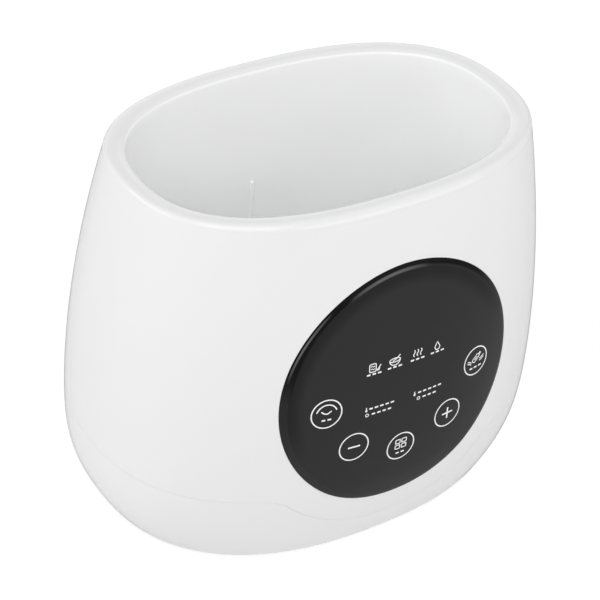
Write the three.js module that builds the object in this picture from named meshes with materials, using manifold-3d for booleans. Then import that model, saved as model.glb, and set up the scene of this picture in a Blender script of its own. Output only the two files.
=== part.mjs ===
// Base unit of a double baby-bottle warmer: an oval white body round a deep oval water tank, with
// a round black touch panel on its front. Millimetres, +Z up, the floor at zero, the panel
// towards -Y and the long side along X.
import * as THREE from "three";
import { mergeVertices, toCreasedNormals } from "three/addons/utils/BufferGeometryUtils.js";
import Module from "manifold-3d";

const wasm = await Module();
wasm.setup();

// Fits shared by all pieces
const gap = 0.3; // between two pieces that touch
const overrun = 3; // how far a cutter runs past what it cuts
const bond = 0.8; // how deep a boss or rib is sunk into the wall that carries it

// Roundness of the model: sides of the ovals and of round pieces, and bands of the body
const ovalSides = 40;
const roundSides = 12;
const smallSides = 8;
const panelSides = 40;
const tuckBands = 4;
const riseBands = 6;
const roundBands = 2;
const cornerSteps = 2;
const dipSteps = 14;

// Body: widest low down, drawn in to the rim, tucked under to the sole. The rim has a level land
// at its top, and falls from there to the mouth.
const body = {
  height: 149.4,
  footHeight: 2,
  girthHeight: 40,
  girthHalfLength: 94,
  girthHalfWidth: 70,
  lengthDrawIn: 11.25,
  widthDrawIn: 17.3,
  lengthTuckIn: 9,
  widthTuckIn: 7.5,
  rimRound: 2.4,
  rimLand: 2,
  rimBand: 7.75,
  wall: 2.5,
  topWall: 3,
  skirtWall: 1.4,
  skirtDepth: 7,
};
const soleSquareness = 2.35;
const rimSquareness = 2.47;
const lengthRisePower = 1.8;
const widthRisePower = 1.85;
const lengthTuckPower = 3.4;
const widthTuckPower = 1.8;
const shoulderHeight = body.height - body.rimRound;
const rimHalfLength = body.girthHalfLength - body.lengthDrawIn;
const rimHalfWidth = body.girthHalfWidth - body.widthDrawIn;
const soleHalfLength = body.girthHalfLength - body.lengthTuckIn;
const soleHalfWidth = body.girthHalfWidth - body.widthTuckIn;

// Water tank: the mouth that the bottles go in by, and the walls that lean in below it
const tank = {
  mouthHalfLength: rimHalfLength - body.rimBand,
  mouthHalfWidth: rimHalfWidth - body.rimBand,
  mouthDrop: 1,
  mouthRound: 0.8,
  floorHeight: 44.5,
  floorThickness: 2.5,
  floorRound: 6,
  wall: 2.2,
  collarWall: 1.3,
  ribWidth: 1.2,
  ribDepth: 0.9,
  ribTop: 99,
};
const mouthSquareness = 2.47;
const tankLeanShare = 0.026; // how far a wall leans in for each millimetre down

// Seam between housing and bottom cover: level, with a dip that runs round the panel
const seam = {
  height: 37.2,
  panelMargin: 12,
  fillet: 8,
  tabWidth: 12,
  tabRise: 4,
  tabThickness: 1.4,
};
const tabTurns = [10, 70, 110, 170, 190, 350].map(THREE.MathUtils.degToRad);

// Touch panel: a lens bedded on foam in a round seat
const panel = {
  height: 76.7,
  radius: 50,
  proud: 0.5,
  lensThickness: 2.1,
  gasketThickness: 0.5,
  gasketWidth: 4.6,
  ledgeWidth: 6,
  ledgeThickness: 2.3,
  ringWidth: 4,
};
const keyArc = { radius: 34.7, rise: 8.3 };
const keyPitch = THREE.MathUtils.degToRad(37);
const keyNames = ["preset", "minus", "menu", "plus", "warm"];

// Control board behind the panel, with what stands on it
const control = {
  setback: 12.5,
  halfWidth: 42,
  below: 35,
  above: 31,
  thickness: 1.6,
  cornerRadius: 6,
  contactRadius: 3,
  contactFlange: 4,
  contactFlangeHeight: 1.2,
  bossRadius: 3.2,
  screwLowX: 36,
  screwLowDrop: 30.2,
  screwHighX: 38.5,
  screwHighRise: 26,
};
const display = { width: 20, height: 10, depth: 7, offset: 11, rise: 3.5 };
const lightGuide = { width: 44, height: 6, depth: 6.5, rise: 14 };
const buzzer = { radius: 6, height: 5.5, x: -18, drop: 24, hole: 1.2, holeDepth: 1 };
const ribbonSocket = { width: 13, height: 5, depth: 4.5, x: 16, drop: 28 };
const ribbon = { width: 11, thickness: 1 };

// Heating plate, its seal, and the ring that clamps it under the tank
const plate = {
  flangeInset: 9.5,
  dishInset: 5.5,
  thickness: 2.5,
  topDrop: 0.5,
  edgeRound: 1.5,
  gasketThickness: 1.5,
  clampInset: 1.5,
  clampLip: 8,
  clampThickness: 2.3,
  bossRadius: 3,
};
const clampTurn = THREE.MathUtils.degToRad(54);
const element = { radius: 3.3, bend: 9, coldEnd: 10 };
const elementWidthShare = 0.5;
const elementEndShare = 0.72;
const elementLoopShare = 0.48;
const elementSteps = 40;
const elementSides = 8;
const thermostat = { radius: 8, capHeight: 2, bodyRadius: 7, bodyHeight: 5, tabWidth: 6, tabDrop: 6 };
const tabThickness = 0.8;
const thermalFuse = { radius: 2, length: 12, x: 22 };
const sensor = { radius: 2.6, length: 9, tailRadius: 1.6, tailLength: 5, x: -18 };

// Bottom cover, feet and the columns that its screws go up into
const cover = {
  floor: 2.5,
  wellRadius: 5,
  wellHeight: 5,
  ventLength: 24,
  ventWidth: 2.6,
  ventPitch: 7,
  ventRowOffset: 22,
};
const ventCount = 4;
const ventRoundShare = 0.45;
const foot = { radius: 7.5, sunk: 1.2, chamfer: 1.2 };
const footLengthShare = 0.6;
const footWidthShare = 0.56;
const column = { radius: 3.6, clearance: 1, height: 38, webThickness: 3, webReach: 34, webTop: 58 };
const columnTurn = THREE.MathUtils.degToRad(35);

// Screws: one size for the boards, one for the clamp ring and one for the base
const boardScrew = { radius: 1.2, headRadius: 2.4, headHeight: 1.5, length: 5 };
const clampScrew = { radius: 1.4, headRadius: 2.7, headHeight: 1.8, length: 7 };
const baseScrew = { radius: 1.5, headRadius: 3, headHeight: 2, length: 15 };
const recess = { width: 0.9, depth: 1 };
const recessSpanShare = 1.3;

// Power board on the floor of the cover
const power = {
  halfLength: 48,
  halfWidth: 26,
  y: -4,
  standoff: 6,
  thickness: 1.6,
  cornerInset: 5,
  standoffRadius: 3.2,
  pegRadius: 1.3,
  cornerRadius: 3,
};
const transformer = { length: 24, width: 20, height: 15, x: -30, y: 4, coreWidth: 12, coreStep: 3 };
const relay = { length: 19, width: 15.5, height: 15, x: 16, y: -9 };
const capacitor = { radius: 5, height: 13, x: -4, y: -14 };
const mainsFuse = { radius: 2.6, length: 20, x: 0, y: 6, capRadius: 3.1, capLength: 5 };
const mainsTerminal = { length: 16, width: 8, height: 9, x: 18, y: 12 };
const heaterTerminal = { length: 8, width: 18, height: 9, x: 40, y: 4 };
const sensorSocket = { length: 6, width: 8, height: 6, x: -12, y: 16 };
const boardSocketPlace = { x: 16, edge: 4 };

// Mains inlet in the back wall
const inlet = {
  height: 20.5,
  flangeWidth: 28,
  flangeHeight: 17,
  flangeThickness: 1.5,
  flangeRound: 4,
  bodyWidth: 22,
  bodyHeight: 12.4,
  bodyDepth: 17,
  bodyRound: 3,
  socketRadius: 4,
  socketDepth: 12,
  socketWaist: 6,
  pinSpacing: 8.6,
  pinRadius: 1.2,
  pinReach: 9,
  pinTail: 4,
  padThickness: 3.2,
  padMargin: 4,
};

// Leads
const lead = { radius: 1.1 };
const leadSides = 8;
const leadSteps = 8;

// Finishes
const finishes = {
  whiteGloss: { color: 0xf1f1f1, roughness: 0.22, metalness: 0 },
  whiteSatin: { color: 0xececec, roughness: 0.45, metalness: 0 },
  blackGloss: { color: 0x2c2c2c, roughness: 0.08, metalness: 0 },
  blackFoam: { color: 0x1c1c1c, roughness: 0.95, metalness: 0 },
  greyRubber: { color: 0x5d5d5d, roughness: 0.9, metalness: 0 },
  silicone: { color: 0xd9d4cc, roughness: 0.6, metalness: 0 },
  aluminium: { color: 0xc9cbcd, roughness: 0.35, metalness: 1 },
  steel: { color: 0xb4b6b8, roughness: 0.3, metalness: 1 },
  brass: { color: 0xc9a24f, roughness: 0.3, metalness: 1 },
  boardGreen: { color: 0x1f6b3a, roughness: 0.5, metalness: 0 },
  blackPlastic: { color: 0x222222, roughness: 0.5, metalness: 0 },
  creamPlastic: { color: 0xe6dfc8, roughness: 0.5, metalness: 0 },
  smokedPlastic: { color: 0x3a3a3e, roughness: 0.3, metalness: 0 },
  paleBlue: { color: 0x4c6f9e, roughness: 0.5, metalness: 0 },
  brownLead: { color: 0x6b4226, roughness: 0.6, metalness: 0 },
  blueLead: { color: 0x2f5fa8, roughness: 0.6, metalness: 0 },
  whiteLead: { color: 0xdedede, roughness: 0.6, metalness: 0 },
};

// Solids from geometries, and back

function solidFrom(geometry) {
  const bare = geometry.clone();
  bare.deleteAttribute("normal");
  bare.deleteAttribute("uv");
  const merged = mergeVertices(bare);
  const vertProperties = merged.attributes.position.array;
  const triVerts = new Uint32Array(merged.index.array);
  return new wasm.Manifold(new wasm.Mesh({ numProp: 3, vertProperties, triVerts }));
}

function geometryFrom(solid) {
  const mesh = solid.getMesh();
  const geometry = new THREE.BufferGeometry();
  geometry.setAttribute("position", new THREE.BufferAttribute(mesh.vertProperties, 3));
  geometry.setIndex(new THREE.BufferAttribute(mesh.triVerts, 1));
  return geometry;
}

const together = (solids) => solids.reduce((whole, solid) => whole.add(solid));
const without = (solid, cutters) => cutters.reduce((rest, cutter) => rest.subtract(cutter), solid);

// Plain shapes: each stands on z, centred at x and y

function block([width, depth, height], [x, y, z]) {
  return solidFrom(new THREE.BoxGeometry(width, depth, height).translate(x, y, z + height / 2));
}

function post(radius, height, [x, y, z], sides = roundSides) {
  const upright = new THREE.CylinderGeometry(radius, radius, height, sides).rotateX(Math.PI / 2);
  return solidFrom(upright.translate(x, y, z + height / 2));
}

// A round bar along Y between two places
function crossBar(radius, fromY, toY, x, z, sides = roundSides) {
  const bar = new THREE.CylinderGeometry(radius, radius, toY - fromY, sides);
  return solidFrom(bar.translate(x, (fromY + toY) / 2, z));
}

function roundedOutline(width, height, radius) {
  const [w, h] = [width / 2 - radius, height / 2 - radius];
  const outline = new THREE.Shape();
  outline.absarc(w, h, radius, 0, Math.PI / 2);
  outline.absarc(-w, h, radius, Math.PI / 2, Math.PI);
  outline.absarc(-w, -h, radius, Math.PI, 1.5 * Math.PI);
  outline.absarc(w, -h, radius, 1.5 * Math.PI, 2 * Math.PI);
  return outline;
}

// A slab with rounded corners that lies level, from z up
function slab(width, depth, height, radius, [x, y, z]) {
  const options = { depth: height, bevelEnabled: false, curveSegments: cornerSteps };
  const geometry = new THREE.ExtrudeGeometry(roundedOutline(width, depth, radius), options);
  return solidFrom(geometry.translate(x, y, z));
}

// The same slab stood upright, facing along Y, from fromY to toY
function uprightSlab(width, height, radius, fromY, toY, x, z) {
  const options = { depth: toY - fromY, bevelEnabled: false, curveSegments: cornerSteps };
  const geometry = new THREE.ExtrudeGeometry(roundedOutline(width, height, radius), options);
  return solidFrom(geometry.rotateX(Math.PI / 2).translate(x, toY, z));
}

// Ovals: squared ellipses, and solids lofted through them

function oval(halfLength, halfWidth, squareness) {
  return { halfLength, halfWidth, squareness };
}

function grown(section, by) {
  return oval(section.halfLength + by, section.halfWidth + by, section.squareness);
}

function ovalPoint(section, turn, z) {
  const power = 2 / section.squareness;
  const [c, s] = [Math.cos(turn), Math.sin(turn)];
  const x = section.halfLength * Math.sign(c) * Math.abs(c) ** power;
  const y = section.halfWidth * Math.sign(s) * Math.abs(s) ** power;
  return new THREE.Vector3(x, y, z);
}

function ring(section, z) {
  const turns = Array.from({ length: ovalSides }, (_, i) => (2 * Math.PI * i) / ovalSides);
  return turns.map((turn) => ovalPoint(section, turn, z));
}

// Rings that run up the outside of a solid. Its first and last rings are capped, unless the
// solid closes on itself like a tyre.
function loft(rings, closesOnItself = false) {
  const sides = rings[0].length;
  const index = [];
  const bands = closesOnItself ? rings.length : rings.length - 1;
  for (let band = 0; band < bands; band++) {
    const low = band * sides;
    const high = ((band + 1) % rings.length) * sides;
    for (let i = 0; i < sides; i++) {
      const j = (i + 1) % sides;
      index.push(low + i, low + j, high + j);
      index.push(low + i, high + j, high + i);
    }
  }
  if (!closesOnItself) {
    const top = (rings.length - 1) * sides;
    for (let i = 1; i < sides - 1; i++) {
      index.push(0, i + 1, i);
      index.push(top, top + i, top + i + 1);
    }
  }
  const geometry = new THREE.BufferGeometry();
  const places = rings.flat().flatMap((point) => point.toArray());
  geometry.setAttribute("position", new THREE.Float32BufferAttribute(places, 3));
  geometry.setIndex(index);
  return solidFrom(geometry);
}

// A flat oval ring between two sections
function ovalRing(outer, inner, low, high) {
  return loft([ring(inner, low), ring(outer, low), ring(outer, high), ring(inner, high)], true);
}

// Body outline

function bodySection(z, inset = 0) {
  const rise = Math.max(0, (z - body.girthHeight) / (shoulderHeight - body.girthHeight));
  const tuck = Math.max(0, (body.girthHeight - z) / (body.girthHeight - body.footHeight));
  const lengthRise = body.lengthDrawIn * rise ** lengthRisePower;
  const widthRise = body.widthDrawIn * rise ** widthRisePower;
  const lengthTuck = body.lengthTuckIn * tuck ** lengthTuckPower;
  const widthTuck = body.widthTuckIn * tuck ** widthTuckPower;
  const squareness = soleSquareness + (rimSquareness - soleSquareness) * (z / body.height);
  return oval(
    body.girthHalfLength - lengthRise - lengthTuck - inset,
    body.girthHalfWidth - widthRise - widthTuck - inset,
    squareness,
  );
}

const tuckStep = (body.girthHeight - body.footHeight) / tuckBands;
const riseStep = (shoulderHeight - body.girthHeight) / riseBands;
const bandHeights = [
  ...Array.from({ length: tuckBands }, (_, i) => body.footHeight + tuckStep * i),
  ...Array.from({ length: riseBands + 1 }, (_, i) => body.girthHeight + riseStep * i),
];

// The body's form, drawn in by an inset, between two heights
function bodyForm(inset, low, high) {
  const between = bandHeights.filter((z) => z > low + gap && z < high - gap);
  return loft([low, ...between, high].map((z) => ring(bodySection(z, inset), z)));
}

// The whole outside, with its rounded rim
function outerForm() {
  const rings = bandHeights.map((z) => ring(bodySection(z), z));
  for (let i = 1; i <= roundBands; i++) {
    const turn = ((Math.PI / 2) * i) / roundBands;
    const inset = body.rimRound * (1 - Math.cos(turn));
    rings.push(ring(bodySection(shoulderHeight, inset), shoulderHeight + body.rimRound * Math.sin(turn)));
  }
  return loft(rings);
}

// How far the front or back wall stands from the middle plane at x and z
function wallDistance(x, z, inset = 0) {
  const { halfLength, halfWidth, squareness } = bodySection(z, inset);
  return halfWidth * (1 - Math.abs(x / halfLength) ** squareness) ** (1 / squareness);
}

// Tank outline

function tankSection(z, outset = 0) {
  const lean = (body.height - z) * tankLeanShare;
  const [halfLength, halfWidth] = [tank.mouthHalfLength - lean, tank.mouthHalfWidth - lean];
  return grown(oval(halfLength, halfWidth, mouthSquareness), outset);
}

const floorUnder = tank.floorHeight - tank.floorThickness;
const tankFoot = tankSection(floorUnder, tank.wall);
const flangeSection = grown(tankFoot, -plate.flangeInset);
const dishSection = grown(flangeSection, -plate.dishInset);
const skirtBottom = body.height - body.skirtDepth;

// Heights of the stack under the tank floor
const sealBottom = floorUnder - gap - plate.gasketThickness;
const flangeTop = sealBottom - gap;
const flangeBottom = flangeTop - plate.thickness;
const clampTop = flangeBottom - gap;
const clampBottom = clampTop - plate.clampThickness;
const dishTop = tank.floorHeight - plate.topDrop;
const dishUnder = dishTop - plate.thickness;
const clampBossSection = grown(flangeSection, plate.bossRadius + gap);

const cornerSigns = [[1, 1], [-1, 1], [-1, -1], [1, -1]];

// The same place in each of the four corners
function corners(place) {
  return cornerSigns.map(([alongX, alongY]) => [alongX * place.x, alongY * place.y]);
}

const clampPlaces = corners(ovalPoint(clampBossSection, clampTurn, 0));
const columnRing = grown(tankFoot, column.clearance + column.radius);
const columnPlaces = corners(ovalPoint(columnRing, columnTurn, 0));
const coverFloor = body.footHeight + cover.floor;
const wellTop = coverFloor + cover.wellHeight;

// Frame of the control board: its origin on the board's front face, behind the panel's centre,
// and its top leaning back with the body's front wall
const boardLow = panel.height - control.below;
const boardHigh = panel.height + control.above;
const boardDrawIn = wallDistance(0, boardLow) - wallDistance(0, boardHigh);
const boardLean = Math.atan(boardDrawIn / (boardHigh - boardLow));
const boardFaceY = control.setback - wallDistance(0, panel.height);
const boardFrame = new THREE.Matrix4()
  .makeRotationX(-boardLean)
  .setPosition(0, boardFaceY, panel.height);
const boardScrewPlaces = [
  [-control.screwLowX, -control.screwLowDrop],
  [control.screwLowX, -control.screwLowDrop],
  [control.screwHighX, control.screwHighRise],
  [-control.screwHighX, control.screwHighRise],
];

// Everything below the seam, cut back by a clearance
function belowSeam(clearance) {
  const arcRadius = panel.radius + seam.panelMargin;
  const level = seam.height - clearance;
  const filletZ = seam.height - seam.fillet;
  const rise = panel.height - filletZ;
  const filletX = Math.sqrt((arcRadius + seam.fillet) ** 2 - rise ** 2);
  const turn = Math.atan2(rise, filletX);
  const far = body.girthHalfLength + overrun;
  const outline = new THREE.Shape();
  outline.moveTo(far, -overrun);
  outline.lineTo(far, level);
  outline.lineTo(filletX, level);
  addArc(outline, filletX, filletZ, seam.fillet - clearance, Math.PI / 2, Math.PI - turn, roundBands);
  addArc(outline, 0, panel.height, arcRadius + clearance, -turn, turn - Math.PI, dipSteps);
  addArc(outline, -filletX, filletZ, seam.fillet - clearance, turn, Math.PI / 2, roundBands);
  outline.lineTo(-far, level);
  outline.lineTo(-far, -overrun);
  const reach = body.girthHalfWidth + overrun;
  const front = new THREE.ExtrudeGeometry(outline, { depth: reach, bevelEnabled: false });
  const back = block([2 * far, reach, level + overrun], [0, reach / 2, -overrun]);
  return solidFrom(front.rotateX(Math.PI / 2)).add(back);
}

// Points of an arc, added to an outline as short lines
function addArc(outline, x, y, radius, fromTurn, toTurn, steps) {
  for (let i = 0; i <= steps; i++) {
    const turn = fromTurn + ((toTurn - fromTurn) * i) / steps;
    outline.lineTo(x + radius * Math.cos(turn), y + radius * Math.sin(turn));
  }
}

// A round bar through the front wall, on the panel's axis
function panelBar(radius) {
  const [fromY, toY] = [-body.girthHalfWidth - overrun, -tank.mouthHalfWidth];
  return crossBar(radius, fromY, toY, 0, panel.height, panelSides);
}

// The part of the body's wall between two depths, inside a round outline on the panel's axis
function panelLayer(radius, outerDepth, innerDepth) {
  const [low, high] = [panel.height - radius - overrun, panel.height + radius + overrun];
  const layer = bodyForm(outerDepth, low, high).subtract(bodyForm(innerDepth, low - gap, high + gap));
  return layer.intersect(panelBar(radius));
}

// Screws: head above zero, shank below

function screwGeometry({ radius, headRadius, headHeight, length }) {
  const profile = [
    [0, -length],
    [radius, -length],
    [radius, 0],
    [headRadius, 0],
    [headRadius, headHeight / 2],
    [headRadius / 2, headHeight],
    [0, headHeight],
  ].map(([x, y]) => new THREE.Vector2(x, y));
  return new THREE.LatheGeometry(profile, smallSides).rotateX(Math.PI / 2);
}

// The same screw with a cross recess in its head
function crossScrewGeometry(screw) {
  const span = screw.headRadius * recessSpanShare;
  const bottom = screw.headHeight - recess.depth;
  const arms = [
    block([span, recess.width, overrun], [0, 0, bottom]),
    block([recess.width, span, overrun], [0, 0, bottom]),
  ];
  return geometryFrom(without(solidFrom(screwGeometry(screw)), arms));
}

// Bottom cover

function makeCoverWall() {
  const top = seam.height + overrun;
  const outside = bodyForm(0, body.footHeight, top);
  const cavity = bodyForm(body.wall, coverFloor, top + overrun);
  return outside.subtract(cavity).intersect(belowSeam(gap / 2));
}

// Tabs on the cover's wall that stand up inside the housing's wall and line the two up
function makeSeamTabs() {
  const [low, high] = [seam.height - 2 * seam.tabRise, seam.height + seam.tabRise];
  const root = bodyForm(body.wall - bond, low, seam.height - gap);
  const stem = bodyForm(body.wall + gap, low, high);
  const inner = bodyForm(body.wall + gap + seam.tabThickness, low - gap, high + gap);
  const band = root.add(stem).subtract(inner);
  return tabTurns.map((turn) => {
    const { x, y } = ovalPoint(bodySection(seam.height, body.wall), turn, 0);
    return band.intersect(block([seam.tabWidth, seam.tabWidth, high - low], [x, y, low]));
  });
}

const footPlaces = corners({
  x: soleHalfLength * footLengthShare,
  y: soleHalfWidth * footWidthShare,
});
const standoffPlaces = corners({
  x: power.halfLength - power.cornerInset,
  y: power.halfWidth - power.cornerInset,
}).map(([x, y]) => [x, y + power.y]);
const boardUnder = coverFloor + power.standoff;
const boardTop = boardUnder + power.thickness;

function isScrewed(corner) {
  return corner % 2 === 0;
}

function makeBottomCover() {
  const footSocketTop = body.footHeight + foot.sunk;
  const wells = columnPlaces.map(([x, y]) => {
    return post(cover.wellRadius, cover.wellHeight + bond, [x, y, coverFloor - bond]);
  });
  const standoffs = standoffPlaces.map(([x, y], corner) => {
    const height = power.standoff - gap + bond;
    const pillar = post(power.standoffRadius, height, [x, y, coverFloor - bond], smallSides);
    if (isScrewed(corner)) {
      const depth = boardScrew.length;
      const top = boardUnder - gap;
      return pillar.subtract(post(boardScrew.radius + gap, depth + overrun, [x, y, top - depth], smallSides));
    }
    const pegHeight = height + gap + power.thickness + bond;
    return pillar.add(post(power.pegRadius, pegHeight, [x, y, coverFloor - bond], smallSides));
  });
  const footSockets = footPlaces.map(([x, y]) =>
    post(foot.radius + gap, foot.sunk + overrun, [x, y, footSocketTop - foot.sunk - overrun]),
  );
  const counterbores = columnPlaces.map(([x, y]) => {
    const depth = wellTop - body.footHeight - cover.floor + overrun;
    return post(baseScrew.headRadius + gap, depth, [x, y, body.footHeight - overrun]);
  });
  const screwHoles = columnPlaces.map(([x, y]) =>
    post(baseScrew.radius + gap, wellTop + overrun, [x, y, 0], smallSides),
  );
  const ventGaps = [];
  for (const side of [-1, 1]) {
    for (let i = 0; i < ventCount; i++) {
      const y = (i - (ventCount - 1) / 2) * cover.ventPitch;
      const place = [side * cover.ventRowOffset, y, body.footHeight - overrun];
      const depth = cover.floor + 2 * overrun;
      ventGaps.push(slab(cover.ventLength, cover.ventWidth, depth, cover.ventWidth * ventRoundShare, place));
    }
  }
  const cutters = [...footSockets, ...counterbores, ...screwHoles, ...ventGaps];
  const solid = together([makeCoverWall(), ...makeSeamTabs(), ...wells, ...standoffs]);
  return makeInletSeat(without(solid, cutters));
}

// The inlet's flange lies in a recess that is just as deep as the flange at its lower corners
const inletFootY = wallDistance(inlet.flangeWidth / 2, inlet.height - inlet.flangeHeight / 2);
const inletSeatY = inletFootY - inlet.flangeThickness - gap;

// The back wall thickened behind the inlet, with a flat seat for its flange and a hole for its body
function makeInletSeat(wall) {
  const innerY = inletSeatY - inlet.padThickness;
  const padWidth = inlet.flangeWidth + inlet.padMargin;
  const padHeight = inlet.flangeHeight + inlet.padMargin;
  const outside = body.girthHalfWidth + overrun;
  const pad = uprightSlab(padWidth, padHeight, inlet.flangeRound, innerY, outside, 0, inlet.height)
    .intersect(bodyForm(bond, body.footHeight, body.height));
  const seat = uprightSlab(
    inlet.flangeWidth + 2 * gap,
    inlet.flangeHeight + 2 * gap,
    inlet.flangeRound,
    inletSeatY,
    outside,
    0,
    inlet.height,
  );
  const hole = uprightSlab(
    inlet.bodyWidth + 2 * gap,
    inlet.bodyHeight + 2 * gap,
    inlet.bodyRound,
    innerY - overrun,
    outside,
    0,
    inlet.height,
  );
  return wall.add(pad).subtract(seat).subtract(hole);
}

// Outer housing

// A cutter with the mouth's form: its rounded edge, and the fall from the rim's land down to it
function mouthForm() {
  const roundFoot = body.height - tank.mouthDrop - tank.mouthRound;
  const landInset = body.rimBand - body.rimRound - body.rimLand;
  const rings = [ring(tankSection(skirtBottom - overrun), skirtBottom - overrun)];
  for (let i = 0; i <= roundBands; i++) {
    const turn = ((Math.PI / 2) * i) / roundBands;
    const flare = tank.mouthRound * (1 - Math.cos(turn));
    rings.push(ring(tankSection(roundFoot, flare), roundFoot + tank.mouthRound * Math.sin(turn)));
  }
  rings.push(ring(tankSection(body.height, landInset), body.height));
  rings.push(ring(tankSection(body.height, landInset), body.height + overrun));
  return loft(rings);
}

function makePanelSeat(housing) {
  const gasketDepth = panel.lensThickness - panel.proud + gap;
  const ledgeDepth = gasketDepth + panel.gasketThickness + gap;
  const backDepth = ledgeDepth + panel.ledgeThickness;
  const seatRing = panelLayer(panel.radius + panel.ringWidth, bond, backDepth);
  const behindLedge = bodyForm(ledgeDepth + bond, boardLow - overrun, boardHigh + overrun);
  const bosses = boardScrewPlaces.map(([x, z]) => {
    const boss = crossBar(control.bossRadius, -control.setback, -gap, x, z, smallSides);
    return boss.transform(boardFrame.elements).intersect(behindLedge);
  });
  const opening = panelLayer(panel.radius + gap, -overrun, ledgeDepth);
  const window = panelBar(panel.radius - panel.ledgeWidth);
  const carried = together([housing, seatRing]).subtract(opening).subtract(window);
  const screwHoles = boardScrewPlaces.map(([x, z]) => {
    const depth = boardScrew.length - control.thickness + gap;
    const hole = crossBar(boardScrew.radius + gap, -depth, overrun, x, z, smallSides);
    return hole.transform(boardFrame.elements);
  });
  return without(together([carried, ...bosses]), screwHoles);
}

// The four columns that the base screws go up into, each webbed to the wall above the seam
function makeColumns() {
  const bottom = wellTop + gap;
  const clearOfCover = bodyForm(body.wall + gap + bond, body.footHeight, column.webTop + overrun);
  const intoWall = bodyForm(body.wall - bond, seam.height + gap, column.webTop + overrun);
  const allowed = clearOfCover.add(intoWall);
  return columnPlaces.map(([x, y]) => {
    const turn = Math.atan2(y, x);
    const webBottom = column.height / 2;
    const web = new THREE.BoxGeometry(column.webReach, column.webThickness, column.webTop - webBottom)
      .translate(column.webReach / 2, 0, (column.webTop + webBottom) / 2)
      .rotateZ(turn)
      .translate(x, y, 0);
    const stem = post(column.radius, column.height - bottom, [x, y, bottom], roundSides);
    const hole = post(baseScrew.radius + gap, baseScrew.length, [x, y, bottom - gap], smallSides);
    return solidFrom(web).intersect(allowed).add(stem).subtract(hole);
  });
}

function makeOuterHousing() {
  const inside = bodyForm(body.wall, -overrun, body.height - body.topWall);
  const skirtTop = body.height - body.topWall + bond;
  const skirtOutside = [
    ring(tankSection(skirtBottom, body.skirtWall), skirtBottom),
    ring(tankSection(skirtTop, body.skirtWall), skirtTop),
  ];
  const shell = outerForm().subtract(inside).add(loft(skirtOutside)).subtract(mouthForm());
  const upper = shell.subtract(belowSeam(-gap / 2));
  return together([makePanelSeat(upper), ...makeColumns()]);
}

// Inner tank: wall, collar that stands behind the rim's skirt, floor ledge round the plate, rib
// on the back wall, and bosses for the clamp screws

function makeInnerTank() {
  const collarOuter = body.skirtWall + gap + tank.collarWall;
  const collarInner = body.skirtWall + gap;
  const collarTop = body.height - body.topWall - gap;
  const collarBottom = skirtBottom - 2 * tank.wall;
  const wallTop = skirtBottom - gap;
  const hole = grown(dishSection, gap);
  const rings = [
    ring(hole, floorUnder),
    ring(tankFoot, floorUnder),
    ring(tankSection(collarBottom, tank.wall), collarBottom),
    ring(tankSection(wallTop - tank.wall, collarOuter), wallTop - tank.wall),
    ring(tankSection(collarTop, collarOuter), collarTop),
    ring(tankSection(collarTop, collarInner), collarTop),
    ring(tankSection(wallTop, collarInner), wallTop),
    ring(tankSection(wallTop), wallTop),
  ];
  for (let i = 0; i <= roundBands; i++) {
    const turn = ((Math.PI / 2) * i) / roundBands;
    const z = tank.floorHeight + tank.floorRound * (1 - Math.sin(turn));
    rings.push(ring(tankSection(z, -tank.floorRound * (1 - Math.cos(turn))), z));
  }
  rings.push(ring(hole, tank.floorHeight));
  const bosses = clampPlaces.map(([x, y]) => {
    const bottom = clampTop + gap;
    const hole = post(clampScrew.radius + gap, clampScrew.length, [x, y, bottom - gap], smallSides);
    const boss = post(plate.bossRadius, floorUnder - bottom + bond, [x, y, bottom], roundSides);
    return boss.subtract(hole);
  });
  return together([loft(rings, true), makeTankRib(), ...bosses]);
}

function makeTankRib() {
  const bottom = tank.floorHeight + tank.floorRound;
  const outline = new THREE.Shape();
  const height = tank.ribTop - bottom - tank.ribWidth / 2;
  outline.moveTo(-tank.ribWidth / 2, 0);
  outline.lineTo(tank.ribWidth / 2, 0);
  addArc(outline, 0, height, tank.ribWidth / 2, 0, Math.PI, roundBands);
  const options = { depth: tank.ribDepth + bond, bevelEnabled: false };
  const geometry = new THREE.ExtrudeGeometry(outline, options)
    .rotateX(Math.PI / 2)
    .translate(0, bond, 0)
    .rotateX(-Math.atan(tankLeanShare))
    .translate(0, tankSection(bottom).halfWidth, bottom);
  return solidFrom(geometry);
}

// Heating plate: a pressed dish with a flat flange round it
function makeHeatingPlate() {
  const dishInner = grown(dishSection, -plate.thickness);
  const rings = [
    ring(dishInner, dishUnder),
    ring(dishInner, flangeBottom),
    ring(flangeSection, flangeBottom),
    ring(flangeSection, flangeTop),
    ring(dishSection, flangeTop),
    ring(dishSection, dishTop - plate.edgeRound),
    ring(grown(dishSection, -plate.edgeRound), dishTop),
  ];
  return loft(rings);
}

function makeTankGasket() {
  const outer = grown(flangeSection, -gap);
  return ovalRing(outer, grown(dishSection, gap), sealBottom, sealBottom + plate.gasketThickness);
}

function makePlateClamp() {
  const outer = grown(tankFoot, -plate.clampInset);
  const inner = grown(flangeSection, -plate.clampLip);
  const clamp = ovalRing(outer, inner, clampBottom, clampTop);
  const depth = plate.clampThickness + 2 * overrun;
  const holes = clampPlaces.map(([x, y]) => {
    return post(clampScrew.radius + gap, depth, [x, y, clampBottom - overrun], smallSides);
  });
  return without(clamp, holes);
}

// Heating element: a loop of round tube under the plate, with both ends turned down

const elementTop = dishUnder - gap;
const elementAxis = elementTop - element.radius;
const elementY = (dishSection.halfWidth - plate.thickness) * elementWidthShare;
const elementEndX = (dishSection.halfLength - plate.thickness) * elementEndShare;
const elementLoopX = -(dishSection.halfLength - plate.thickness) * elementLoopShare;
const coldEndZ = elementAxis - element.coldEnd;

// A quarter bend from one point to another round the corner between them
function quarterBend(from, corner, to) {
  return new THREE.QuadraticBezierCurve3(from, corner, to);
}

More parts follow.
